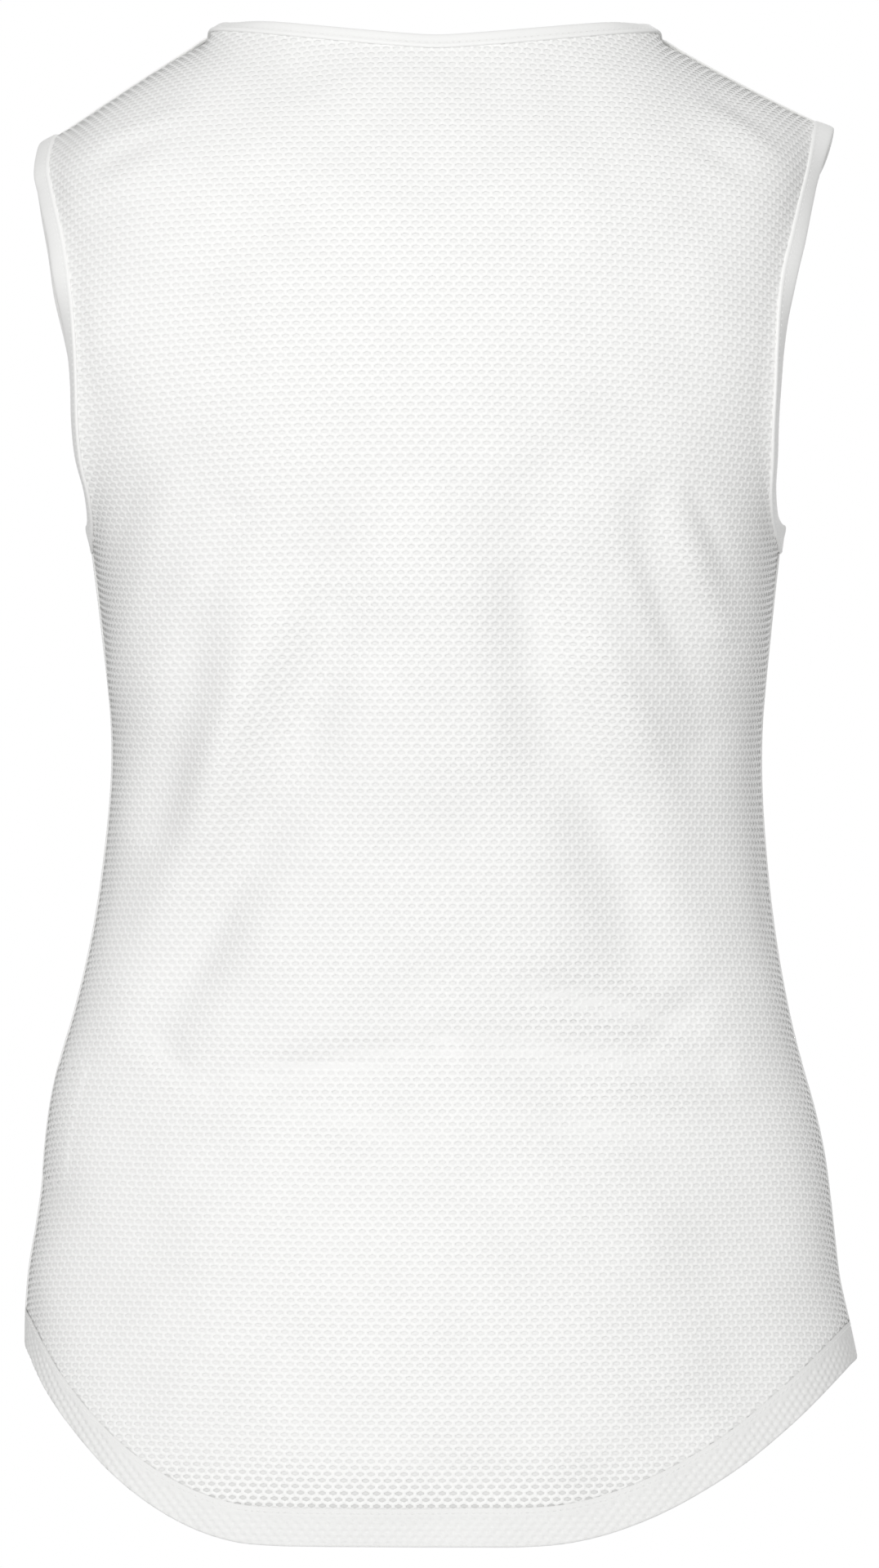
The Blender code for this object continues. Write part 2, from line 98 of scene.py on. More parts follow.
# How deep the form is at the middle of the back and of the front and at the sides. Square is the section's
# shape: 1 is an ellipse, and less is flatter with a tighter turn into the side
PROFILE_COLUMNS = ("height", "back", "front", "side", "square")
PROFILE = (
    (-660, 108, -101, 0, 0.80),
    (-600, 110, -103, 0, 0.80),
    (-550, 107, -104, 0, 0.80),
    (-505, 98, -103, -2, 0.80),
    (-468, 88.5, -101, -3, 0.80),
    (-436, 84, -100, -4, 0.80),
    (-400, 84.5, -99, -4, 0.80),
    (-350, 88, -102, -4, 0.80),
    (-300, 94, -109, -4, 0.78),
    (-240, 100, -115, -3, 0.72),
    (-200, 102, -113, -2, 0.64),
    (-150, 101, -102, -2, 0.56),
    (-100, 95, -86, -2, 0.56),
    (-60, 85, -72, -2, 0.58),
    (-20, 70, -58, -2, 0.60),
)

# The panels' edges round the armholes, from the underarm up to the start of the shoulder
ARMHOLE_COLUMNS = ("height", "left", "right", "back", "front")
ARMHOLE = (
    (-214.0, 153.6, 152.4, -2, -2),
    (-211.0, 153.4, 152.1, 13, -16),
    (-204.0, 152.4, 149.0, 28, -30),
    (-193.0, 152.8, 147.0, 41, -42),
    (-178.0, 156.0, 147.1, 51, -51),
    (-160.0, 157.6, 147.3, 57.5, -57),
    (-138.0, 158.0, 148.3, 60.5, -60),
    (-116.0, 159.3, 149.2, 59.5, -58),
    (-96.0, 161.6, 151.3, 54, -53),
    (-78.0, 164.6, 155.6, 46, -45),
    (-62.0, 168.6, 159.6, 36.5, -36),
    (-48.0, 172.0, 163.4, 26, -27),
)
# How far the front's edge stands wider than the back's, just over half way up. Skew moves the widest place up
FRONT_EDGE_OUT_LEFT, FRONT_EDGE_OUT_RIGHT = 5.0, -4.0
FRONT_EDGE_SKEW = 1.3

# The shoulder's crest, from its neck end to its tip, and the seam just in front of it
CREST_Y, CREST_RADIUS = 5.0, 30.0
SEAM_Y = -10.0
SHOULDER_COLUMNS = ("side", "neck_x", "neck_z", "tip_x", "tip_z", "bulge")
SHOULDER = (
    (1, 102.5, 19.6, 170.0, -24.6, 0.6),
    (-1, 100.5, 18.8, 170.0, -18.4, -1.0),
)

# The middle of each neckline, and how late its curve climbs to the shoulder. Early is the share of the
# front's climb that follows the curve's own arc
BACK_NECK_DEPTH, BACK_NECK_Z = 49.0, 7.0
BACK_NECK_CLIMB = 1.4
FRONT_NECK_DEPTH, FRONT_NECK_Z = -84.0, -101.0
FRONT_NECK_TURN, FRONT_NECK_CLIMB, FRONT_NECK_EARLY = 1.35, 1.5, 0.25

# How strongly the cloth keeps its direction on its way over the shoulder
YOKE_FULLNESS = 0.8

# The highest row that follows the body's sections, at the centre line
BACK_YOKE_START, FRONT_YOKE_START = -62.0, -136.0

# The largest folds. Across and height place each end, width is to where it fades, and depth is negative for
# a trough
FOLD_COLUMNS = ("across", "height", "to_across", "to_height", "width", "depth")
BACK_FOLDS = (
    (50, -245, 122, -428, 17, -2.6),
    (74, -250, 140, -405, 14, 1.8),
    (88, -200, 130, -335, 12, -1.8),
    (-38, -232, -88, -362, 16, -2.2),
    (-90, -196, -120, -296, 13, -2.0),
    (-104, -190, -126, -250, 9, 1.6),
    (96, -446, -2, -430, 13, -2.6),
    (-4, -430, -122, -440, 13, -2.4),
    (-70, -452, -92, -446, 14, 1.6),
    (-42, -406, -112, -424, 11, -1.4),
)
FRONT_FOLDS = (
    (60, -236, 118, -398, 17, -2.4),
    (92, -246, 136, -372, 13, 1.6),
    (-52, -248, -104, -416, 16, -2.4),
    (-86, -240, -128, -352, 13, 1.7),
    (104, -442, 10, -428, 14, -2.2),
    (-14, -434, -112, -446, 13, -2.4),
    (40, -112, 22, -186, 13, -1.6),
    (-34, -112, -14, -178, 12, -1.6),
)

# The grid's cells beside the seams over which folds and waves fade out
CALM_CELLS = 2

# How deep a fold and a crease still are at their ends, and how steep their sides are
FOLD_END_DEPTH, CREASE_END_DEPTH = 0.55, 0.2
FOLD_STEEPNESS = 1.6

# The mesh: its holes stand in rows, each row half a pitch along from the one below. A hole has six corners:
# four at its sides, at HOLE_SIDE above and below its middle, and one each at its top and bottom
PITCH, ROW_PITCH = 4.6, 2.78
HOLE_WIDE, HOLE_SIDE, HOLE_TOP = 3.1, 0.33, 0.97
THREAD_ROUND = 0.34

# The fine ground that the holes show, a sheet a little darker than the web that paints the shade seen through
# the holes: how far it lies in from the web, and how coarse its own grid is
GROUND_IN = 0.2
GROUND_STEP = 2
GROUND_FROM_ROW = 4

# Cloth past a panel's outline, inside a binding or under a seam's cover
TUCK = 1.2
# The cells over which the cloth's way past its outline is measured
TUCK_CELLS = 3

# How much finer the looks' grid is than the part's
FINE = 8

# The cloth is laid flat by easing springs, the long ones over several cells first: (cells, rounds)
FLAT_PLAN = ((4, 200), (2, 200), (1, 800))
FLAT_STRETCH, FLAT_EASE = 1.15, 1.6

# Finding a flat point's place on the grid: rounds, the longest step in cells, and the least divisor
NEWTON_ROUNDS, NEWTON_STEP, NEWTON_LEAST = 9, 9, 1e-9
GUESS_AT_ONCE = 4000

# Creases and broad slopes beside the largest folds, in the same columns
BACK_CREASES = (
    (-106, -256, -132, -430, 52, -4.4),
    (116, -290, 134, -430, 36, -3.6),
    (-118, -456, -146, -596, 46, -4.4),
    (122, -456, 148, -596, 44, -4.2),
    (36, -198, 64, -350, 20, -4.8),
    (50, -284, 122, -428, 19, -5.2),
    (98, -250, 131, -360, 15, -2.4),
    (76, -240, 108, -360, 15, 2.8),
    (-35, -192, -46, -336, 21, -4.8),
    (-42, -272, -98, -412, 23, -5.4),
    (-64, -236, -112, -338, 13, 2.4),
    (120, -28, 155, -50, 9, -1.8),
    (106, -20, 146, -34, 7, 1.1),
    (128, -66, 160, -62, 6, -0.9),
    (-116, -8, -146, -26, 7, -1.3),
    (-112, -32, -140, -52, 8, -1.2),
    (-124, -20, -154, -44, 7, 1.0),
    (-96, -192, -118, -238, 7, 1.3),
    (-84, -200, -106, -262, 8, -1.4),
    (-108, -186, -130, -226, 7, -1.2),
    (130, -180, 148, -232, 8, -1.2),
    (112, -178, 140, -258, 9, 1.0),
    (-30, -404, -112, -422, 9, -1.0),
    (84, -436, 6, -426, 8, 1.0),
    (0, -470, 96, -452, 10, -0.9),
    (-20, -462, -100, -470, 10, -0.8),
    (134, -420, 92, -462, 9, -1.0),
    (-128, -398, -84, -440, 9, -1.1),
    (30, -604, -40, -622, 12, -0.8),
    (96, -560, 128, -610, 14, 0.9),
    (-92, -566, -124, -600, 14, 0.9),
)
FRONT_CREASES = (
    (-112, -260, -134, -430, 50, -4.4),
    (112, -276, 132, -430, 44, -3.8),
    (-120, -450, -150, -570, 42, -3.0),
    (122, -450, 150, -570, 40, -2.8),
    (58, -232, 116, -398, 19, -2.6),
    (84, -246, 130, -366, 14, 2.2),
    (-54, -250, -106, -410, 19, -2.6),
    (-78, -244, -122, -350, 14, 2.2),
    (126, -40, 152, -72, 8, -1.4),
    (-120, -36, -150, -66, 8, -1.3),
    (-112, -54, -142, -92, 7, 0.9),
    (98, -196, 130, -246, 8, -1.3),
    (112, -186, 140, -230, 7, 1.1),
    (-90, -200, -116, -262, 8, -1.4),
    (-104, -190, -132, -236, 7, 1.1),
    (70, -300, 112, -392, 9, -1.0),
    (-60, -300, -108, -400, 9, -1.1),
    (90, -432, 12, -424, 8, 0.9),
    (-24, -420, -108, -432, 9, -1.0),
    (10, -462, 100, -448, 10, -0.9),
    (-16, -456, -98, -462, 10, 0.8),
    (24, -570, -48, -590, 13, -0.8),
    (92, -540, 126, -590, 14, 0.9),
    (-88, -548, -120, -588, 14, 0.9),
)

# Slow waves all over the cloth: how long, which way, how deep and where they start
WAVE_COLUMNS = ("long", "turn", "depth", "start")
WAVES = (
    (92, 0.35, 0.34, 0.4),
    (71, 1.25, 0.28, 1.9),
    (57, 2.20, 0.22, 3.1),
    (43, 0.85, 0.16, 5.0),
    (36, 2.75, 0.12, 2.2),
)

# The front's waves are another stretch of the same ones
FRONT_WAVE_SHIFT = 300.0

# Hem
HEM_UP = 16.4
HEM_STITCH_UP = 14.4
HEM_OUT, HEM_IN = 0.42, 1.0
HEM_STEP_FINE = 0.8
HEM_WEB_FROM = 6.5
HEM_FOLD_DROP, HEM_FOLD_IN = 0.45, 0.1
# How much of its lift the hem's upper edge keeps
HEM_EDGE_LIFT = 0.5
# The hem's plain strip round its stitches, and the mesh's holes below it, as dimples
HEM_PLAIN = 1.6
DIMPLE, DIMPLE_WIDE, DIMPLE_HIGH, DIMPLE_STEEP = 0.55, 1.75, 1.4, 1.3

# Bindings
BAND_STEP = 1.1
BAND_OVERLAP = 1.2
BAND_SIDES = 32
BAND_STITCHES = (1.0, 2.7)
BAND_GROOVE, BAND_GROOVE_HALF = 0.3, 0.45
# How square a binding's section is across and up: 1 is an ellipse
BAND_SQUARE_ACROSS, BAND_SQUARE_UP = 0.55, 0.75
SWELL_LONG = 6.0
PUCKER = 0.05
# How often the bindings' line, directions and ways out are smoothed
LINE_ROUNDS, WAYS_ROUNDS, OUT_ROUNDS = 4, 12, 6

# Stitches
STITCH_LONG, STITCH_PITCH, STITCH_THICK = 2.1, 2.9, 0.32
STITCH_RISE, STITCH_SUNK = 0.28, 0.1
# How thick a stitch is at its ends, as a share
STITCH_END = 0.55
STITCH_SIDES, STITCH_PARTS = 5, 5

# The heights between which the ground is darkened toward the hem: painted shade for the dark inside that
# shows through the mesh there
SHADE_FROM, SHADE_TO = -600.0, -640.0

# Seam covers, and the groove along their middle
COVER_HALF, COVER_THICK, COVER_EDGE = 3.1, 0.5, 0.06
COVER_GROOVE, COVER_GROOVE_HALF = 0.35, 0.18
COVER_INSIDE, COVER_INSIDE_THICK = 0.1, 0.35
COVER_STEP, COVER_POINTS = 1.2, 9
LADDER_PITCH, LADDER_REACH = 1.7, 0.82
LADDER_THICK, LADDER_RISE = 0.3, 0.1

# The care label, measured in from the back panel's left edge
LABEL_TOP, LABEL_BOTTOM = -441.0, -493.0
LABEL_FROM, LABEL_WIDE = 3.0, 41.0
LABEL_DEEP, LABEL_THIN = 2.0, 0.35
LABEL_CURL, LABEL_RIPPLE = 0.5, 0.25
LABEL_ROWS, LABEL_COLUMNS = 27, 22
# The part of the back panel's grid that the label is measured on
LABEL_GRID_COLUMNS, LABEL_GRID_ROWS = 5 * FINE, 20 * FINE
# How far the label lifts the cloth outside it, and over what width that fades
LABEL_RELIEF, LABEL_RELIEF_EDGE = 0.4, 1.6

# Camera and stage, in metres
CAMERA_AWAY = 3.0
CAMERA_X, CAMERA_Z = -0.0011, -0.317
SEEN_HALF_HEIGHT = 0.34983
SENSOR = 36.0
FLOOR_Z = -0.93
FLOOR_RADIUS, FLOOR_CORNERS = 1.9, 96
WORLD_LIGHT = 0.42
LIGHT_SIZE = 2.2
LIGHT_TARGET = (0, 0, -0.32)
# Each light: its name, place and watts
LIGHTS = (
    ("key", (0.42, 3.2, 1.28), 84),
    ("front_key", (-0.6, -3.2, 0.6), 66),
)

# Each finish: its two tones, how rough it is, how long a loop is in millimetres, how strongly the loops stand
# out, its sheen, and for the ground the painted shade toward the hem
FINISHES = {
    "honeycomb_mesh": ((0.90, 0.90, 0.89), (0.88, 0.88, 0.87), 0.72, 0.55, 0.35, 0.05, None),
    # The ground is a little darker than the web: painted shade in the mesh's holes
    "ground_painted_shade": ((0.87, 0.87, 0.86), (0.855, 0.855, 0.845), 0.8, 0.4, 0.3, 0.0, (0.66, 0.66, 0.65)),
    # The hem's mesh is a darker copy of the panels' own: painted shade standing in for its holes, which are
    # only dimples here
    "hem_mesh_painted_shade": ((0.83, 0.83, 0.82), (0.815, 0.815, 0.805), 0.75, 0.55, 0.35, 0.05, None),
    "binding_knit": ((0.87, 0.87, 0.86), (0.855, 0.855, 0.845), 0.68, 0.5, 0.3, 0.2, None),
    "thread": ((0.90, 0.90, 0.89), (0.88, 0.88, 0.87), 0.55, 0.3, 0.2, 0.2, None),
    "label_satin": ((0.94, 0.94, 0.93), (0.93, 0.93, 0.92), 0.42, 0.25, 0.15, 0.0, None),
}
CLOUD_SCALE = 38.0
ROUGHNESS_SPREAD = 0.06


def named(table, columns):
    """The table as a dictionary from each column's name to its values."""
    return dict(zip(columns, np.array(table, float).T))


def spline(knots, values, at):
    """A smooth curve through the values at these rising knots, in cubic pieces."""
    knots, values = np.asarray(knots, float), np.asarray(values, float)
    steps = np.diff(knots)
    rises = np.diff(values, axis=0)
    slopes = rises / (steps if values.ndim == 1 else steps[:, None])
    tangents = np.empty_like(values)
    tangents[0], tangents[-1] = slopes[0], slopes[-1]
    for i in range(1, len(knots) - 1):
        before, after = steps[i - 1], steps[i]
        tangents[i] = (slopes[i - 1] * after + slopes[i] * before) / (before + after)
    i = int(np.clip(np.searchsorted(knots, at) - 1, 0, len(steps) - 1))
    t = (at - knots[i]) / steps[i]
    return hermite(values[i], tangents[i] * steps[i], values[i + 1], tangents[i + 1] * steps[i], t)


def hermite(start, start_slope, end, end_slope, t):
    """The cubic curve between two points that leaves and arrives with these slopes."""
    return (
        (2 * t**3 - 3 * t**2 + 1) * start
        + (t**3 - 2 * t**2 + t) * start_slope
        + (3 * t**2 - 2 * t**3) * end
        + (t**3 - t**2) * end_slope
    )


def eased(t):
    """An S-curve from 0 to 1, flat at both ends."""
    t = np.clip(t, 0, 1)
    return t * t * (3 - 2 * t)


def unit(v):
    """A vector, or each vector of an array, at length 1."""
    return v / np.linalg.norm(v, axis=-1, keepdims=True)


def run_lengths(points):
    """How far along their line each of the points lies."""
    return np.concatenate([[0], np.cumsum(np.linalg.norm(np.diff(points, axis=0), axis=1))])


OUTLINES = named(OUTLINE, OUTLINE_COLUMNS)
PROFILES = named(PROFILE, PROFILE_COLUMNS)
ARMHOLES = named(ARMHOLE, ARMHOLE_COLUMNS)
SHOULDERS = {row[0]: dict(zip(SHOULDER_COLUMNS, row)) for row in SHOULDER}


def outline(side, z):
    """The half-width at a side seam: side is 1 for the wearer's left and -1 for the right."""
    return spline(OUTLINES["height"], OUTLINES["left" if side > 0 else "right"], z)


def profile(face, z):
    return spline(PROFILES["height"], PROFILES[face], z)


def armhole_point(face, side, share):
    """A point of the panel's armhole edge, from the underarm at share 0 to the start of the shoulder at 1."""
    wide = ARMHOLES["left" if side > 0 else "right"].copy()
    if face == "front":
        out = FRONT_EDGE_OUT_LEFT if side > 0 else FRONT_EDGE_OUT_RIGHT
        climb = (ARMHOLES["height"] - UNDERARM) / (ARMHOLES["height"][-1] - UNDERARM)
        wide += out * np.sin(pi * climb**FRONT_EDGE_SKEW)
    points = np.array([side * wide, ARMHOLES[face], ARMHOLES["height"]]).T
    lengths = run_lengths(points)
    return spline(lengths, points, share * lengths[-1])


def section_point(face, side, share, edge, z):
    """A point of a section that ends at edge: share is 0 at the centre line and 1 at the edge."""
    square = profile("square", edge[2])
    aside = profile("side", z)
    edge_aside = profile("side", edge[2])
    reach = (edge[1] - edge_aside) / (profile(face, edge[2]) - edge_aside)
    turn = acos(min(max(reach, 0.0), 1.0) ** (1 / square))
    angle = share * turn
    x = abs(edge[0]) * sin(angle) / sin(turn)
    y = aside + (profile(face, z) - aside) * cos(angle) ** square
    if share == 1:
        y = edge[1]
    return np.array([side * x, y, z])


def body_levels():
    """For each row from the hem to the underarm, how far up it is: 0 is the hem and 1 the underarm."""
    climb = [HEM_BAND_TOP + (1 - HEM_BAND_TOP) * i / BODY_ROWS for i in range(BODY_ROWS + 1)]
    return [0, HEM_DEPTH / (UNDERARM - HEM_LEFT), *climb]


def body_row(face, side, level):
    """The share-to-point function of a row between the hem and the underarm."""
    hem_edge = HEM_LEFT if side > 0 else HEM_RIGHT
    hem_mid = BACK_HEM if face == "back" else FRONT_HEM
    tail_start, tail_end = TAIL_LEFT if side > 0 else TAIL_RIGHT
    up = (UNDERARM - hem_edge) * level
    spread = max(0.0, (level - HEM_BAND_TOP) / (1 - HEM_BAND_TOP))

    def at(share):
        tail = eased((share - tail_start) / (tail_end - tail_start))
        hem = hem_mid + (hem_edge - hem_mid) * tail
        top = UNDERARM + UNDERARM_ROW_RISE * (1 - share**2)
        z = hem + up + (top - hem - UNDERARM + hem_edge) * spread
        z_edge = hem_edge + up
        edge = np.array([side * outline(side, z_edge), profile("side", z_edge), z_edge])
        return section_point(face, side, share, edge, z)

    return at


def armhole_row(face, side, climb):
    """The same for a row between the underarm and the start of the shoulder."""
    edge = armhole_point(face, side, climb)
    start = UNDERARM + UNDERARM_ROW_RISE
    end = BACK_YOKE_START if face == "back" else FRONT_YOKE_START
    mid = start + (end - start) * climb

    def at(share):
        z = mid + (edge[2] - mid) * share**2
        return section_point(face, side, share, edge, z)

    return at


def crest_drop(y):
    """How far the cloth falls in front of the shoulder's crest."""
    return max(0.0, CREST_Y - y) ** 2 / (2 * CREST_RADIUS)


def top_point(face, side, column):
    """The panel's top edge: the neckline, then the shoulder seam."""
    shoulder = SHOULDERS[side]
    neck = np.array([side * shoulder["neck_x"], SEAM_Y, shoulder["neck_z"] - crest_drop(SEAM_Y)])
    tip = np.array([side * shoulder["tip_x"], SEAM_Y, shoulder["tip_z"] - crest_drop(SEAM_Y)])
    if column >= NECK_COLUMN:
        out = (column - NECK_COLUMN) / (HALF_COLUMNS - NECK_COLUMN)
        bulge = np.array([0, 0, shoulder["bulge"] * sin(pi * out)])
        return neck + (tip - neck) * out + bulge
    part = column / NECK_COLUMN
    turn = part * pi / 2
    if face == "back":
        y = SEAM_Y + (BACK_NECK_DEPTH - SEAM_Y) * cos(turn)
        climb = sin(turn) ** BACK_NECK_CLIMB
        z = BACK_NECK_Z + (shoulder["neck_z"] - BACK_NECK_Z) * climb - crest_drop(y)
    else:
        rise = 1 - cos(turn)
        y = FRONT_NECK_DEPTH + (SEAM_Y - FRONT_NECK_DEPTH) * rise**FRONT_NECK_TURN
        climb = FRONT_NECK_EARLY * rise + (1 - FRONT_NECK_EARLY) * eased(part) ** FRONT_NECK_CLIMB
        z = FRONT_NECK_Z + (neck[2] - FRONT_NECK_Z) * climb
    return np.array([neck[0] * sin(turn), y, z])


def half_grid(face, side):
    """The points of one half of a panel, as rows of columns from the centre line out."""
    shares = [c / HALF_COLUMNS for c in range(HALF_COLUMNS + 1)]
    rows = [[body_row(face, side, level)(s) for s in shares] for level in body_levels()]
    climbs = [(i + 1) / ARMHOLE_ROWS for i in range(ARMHOLE_ROWS)]
    rows += [[armhole_row(face, side, climb)(s) for s in shares] for climb in climbs]
    below = [np.array(rows[-2]), np.array(rows[-1])]
    for row in range(1, YOKE_ROWS + 1):
        points = []
        for column in range(HALF_COLUMNS + 1):
            start = below[1][column]
            end = top_point(face, side, column)
            onward = -1 if face == "back" else 1
            heading = unit(np.array([0, onward, onward * (CREST_Y - end[1]) / CREST_RADIUS]))
            long = np.linalg.norm(end - start) * YOKE_FULLNESS
            leaving = unit(start - below[0][column])
            points.append(hermite(start, leaving * long, end, heading * long, row / YOKE_ROWS))
        rows.append(points)
    return np.array(rows)


def relaxed(grid, first_row):
    """The grid from this row up with its inner points eased toward their neighbours."""
    out = grid.copy()
    for _ in range(RELAX_ROUNDS):
        near = out[first_row - 1 : -2, 1:-1] + out[first_row + 1 :, 1:-1]
        near = near + out[first_row:-1, :-2] + out[first_row:-1, 2:]
        out[first_row:-1, 1:-1] += (near / 4 - out[first_row:-1, 1:-1]) / 2
    return out


def grid_normals(grid, outward):
    """The cloth's direction at each point, out of the garment."""
    return unit(np.cross(np.gradient(grid, axis=1), np.gradient(grid, axis=0)) * outward)


def panel_form(face):
    """The points of a whole panel before its folds, column 0 on the wearer's right."""
    right, left = half_grid(face, -1), half_grid(face, 1)
    grid = np.concatenate([right[:, :0:-1], left], axis=1)
    return relaxed(grid, len(body_levels()) - 3)


def upsampled(values):
    """The values along the first axis with FINE - 1 new ones between each two, on a smooth curve."""
    padded = np.concatenate([[2 * values[0] - values[1]], values, [2 * values[-1] - values[-2]]])
    at = np.arange((len(values) - 1) * FINE + 1) / FINE
    i = np.minimum(at.astype(int), len(values) - 2)
    t = (at - i).reshape(-1, *[1] * (values.ndim - 1))
    a, b, c, d = (padded[i + k] for k in range(4))
    return b + 0.5 * t * (c - a + t * (2 * a - 5 * b + 4 * c - d + t * (3 * (b - c) + d - a)))


def upsampled_grid(grid):
    return upsampled(upsampled(grid).swapaxes(0, 1)).swapaxes(0, 1)


def springs(step):
    """The pairs of grid places this many cells apart along rows, along columns and on both diagonals."""
    every, low, high = slice(None), slice(None, -step), slice(step, None)
    return (
        ((every, low), (every, high)),
        ((low, every), (high, every)),
        ((low, low), (high, high)),
        ((low, high), (high, low)),
    )


def flattened(grid):
    """The grid laid flat, as (across, up): every spring is eased back to its own length."""
    flat = np.stack([grid[:, :, 0] * FLAT_STRETCH, grid[:, :, 2] - UNDERARM], axis=2)
    for step, rounds in FLAT_PLAN:
        pairs = springs(step)
        lengths = [np.linalg.norm(grid[b] - grid[a], axis=2) for a, b in pairs]
        for _ in range(rounds):
            move = np.zeros_like(flat)
            count = np.zeros((*flat.shape[:2], 1))
            for (a, b), long in zip(pairs, lengths):
                span = flat[b] - flat[a]
                now = np.linalg.norm(span, axis=2)
                pull = span * ((now - long) / now / 2)[:, :, None]
                move[a] += pull
                move[b] -= pull
                count[a] += 1
                count[b] += 1
            flat += move / count * FLAT_EASE
    return flat


def waves(x, z):
    """The cloth's slow unevenness at this place."""
    lift = 0.0
    for wave in WAVES:
        w = dict(zip(WAVE_COLUMNS, wave))
        run = x * cos(w["turn"]) + z * sin(w["turn"])
        lift = lift + w["depth"] * np.sin(2 * pi * run / w["long"] + w["start"])
    return lift


def fold_push(folds, end_depth, x, z):
    """How far the folds move the cloth out at these places."""
    push = np.zeros_like(x)
    for fold in folds:
        f = dict(zip(FOLD_COLUMNS, fold))
        along = np.array([f["to_across"] - f["across"], f["to_height"] - f["height"]], float)
        long = hypot(*along)
        from_x, from_z = x - f["across"], z - f["height"]
        share = (from_x * along[0] + from_z * along[1]) / long**2
        aside = (from_x * along[1] - from_z * along[0]) / long
        past = np.maximum(0, np.maximum(-share, share - 1)) * long
        fade = eased(1 - past / f["width"])
        middle = end_depth + (1 - end_depth) * np.sin(pi * np.clip(share, 0, 1))
        push += f["depth"] * fade * middle * np.exp(-FOLD_STEEPNESS * (aside / f["width"]) ** 2)
    return push


def label_relief(points):
    """How far the care label lifts the back panel's cloth."""
    from_edge = np.zeros(points.shape[:2])
    steps = np.linalg.norm(np.diff(points[:, ::-1], axis=1), axis=2)
    from_edge[:, 1:] = np.cumsum(steps, axis=1)
    from_edge = from_edge[:, ::-1]
    across = eased((LABEL_FROM + LABEL_WIDE - from_edge) / LABEL_RELIEF_EDGE)
    up = eased((points[:, :, 2] - LABEL_BOTTOM) / LABEL_RELIEF_EDGE)
    down = eased((LABEL_TOP - points[:, :, 2]) / LABEL_RELIEF_EDGE)
    on_left = points[:, :, 0] > 0
    return LABEL_RELIEF * across * up * down * on_left


def fine_panel(face):
    """(points, normals, flat) of a panel's fine grid. Flat is where each point lies on the flat cloth."""
    coarse = np.delete(panel_form(face), 1, axis=0)
    flat = upsampled_grid(flattened(coarse))
    points = upsampled_grid(coarse)
    outward = -1 if face == "back" else 1
    normals = grid_normals(points, outward)
    folds, creases = (BACK_FOLDS, BACK_CREASES) if face == "back" else (FRONT_FOLDS, FRONT_CREASES)
    push = fold_push(folds, FOLD_END_DEPTH, points[:, :, 0], points[:, :, 2])
    push += fold_push(creases, CREASE_END_DEPTH, points[:, :, 0], points[:, :, 2])
    push += waves(points[:, :, 0] + (0 if face == "back" else FRONT_WAVE_SHIFT), points[:, :, 2])
    reach = CALM_CELLS * FINE
    ramp = eased(np.arange(reach) / reach)
    push[:, :reach] *= ramp
    push[:, -reach:] *= ramp[::-1]
    push[-reach:] *= ramp[::-1][:, None]
    if face == "back":
        push += label_relief(points)
    points = points + normals * push[:, :, None]
    return points, grid_normals(points, outward), flat


def sampled(grid, rows, columns):
    """The grid's value at fractional rows and columns, running on straight past its edges."""
    r = np.clip(np.floor(rows).astype(int), 0, grid.shape[0] - 2)
    c = np.clip(np.floor(columns).astype(int), 0, grid.shape[1] - 2)
    s, t = (rows - r)[..., None], (columns - c)[..., None]
    low = grid[r, c] * (1 - t) + grid[r, c + 1] * t
    high = grid[r + 1, c] * (1 - t) + grid[r + 1, c + 1] * t
    return low * (1 - s) + high * s


def located(flat, targets, rows, columns):
    """The fractional (rows, columns) of flat points, by Newton's steps from a first guess."""
    for _ in range(NEWTON_ROUNDS):
        r = np.clip(np.floor(rows).astype(int), 0, flat.shape[0] - 2)
        c = np.clip(np.floor(columns).astype(int), 0, flat.shape[1] - 2)
        s, t = (rows - r)[:, None], (columns - c)[:, None]
        a, b, d, e = flat[r, c], flat[r, c + 1], flat[r + 1, c], flat[r + 1, c + 1]
        here = (a * (1 - t) + b * t) * (1 - s) + (d * (1 - t) + e * t) * s
        up = (d * (1 - t) + e * t) - (a * (1 - t) + b * t)
        aside = (b - a) * (1 - s) + (e - d) * s
        off = targets - here
        det = up[:, 0] * aside[:, 1] - up[:, 1] * aside[:, 0]
        det = np.where(np.abs(det) < NEWTON_LEAST, NEWTON_LEAST, det)
        more_rows = (off[:, 0] * aside[:, 1] - off[:, 1] * aside[:, 0]) / det
        more_columns = (up[:, 0] * off[:, 1] - up[:, 1] * off[:, 0]) / det
        rows = rows + np.clip(more_rows, -NEWTON_STEP, NEWTON_STEP)
        columns = columns + np.clip(more_columns, -NEWTON_STEP, NEWTON_STEP)
    return rows, columns


def first_guess(flat, targets):
    """The (rows, columns) of the coarse grid's points that lie nearest to these flat points."""
    knots = flat[::FINE, ::FINE]
    wide = knots.shape[1]
    knots = knots.reshape(-1, 2)
    nearest = np.empty(len(targets), int)
    for start in range(0, len(targets), GUESS_AT_ONCE):
        some = slice(start, start + GUESS_AT_ONCE)
        nearest[some] = ((targets[some, None] - knots[None]) ** 2).sum(axis=2).argmin(axis=1)
    return (nearest // wide * FINE).astype(float), (nearest % wide * FINE).astype(float)


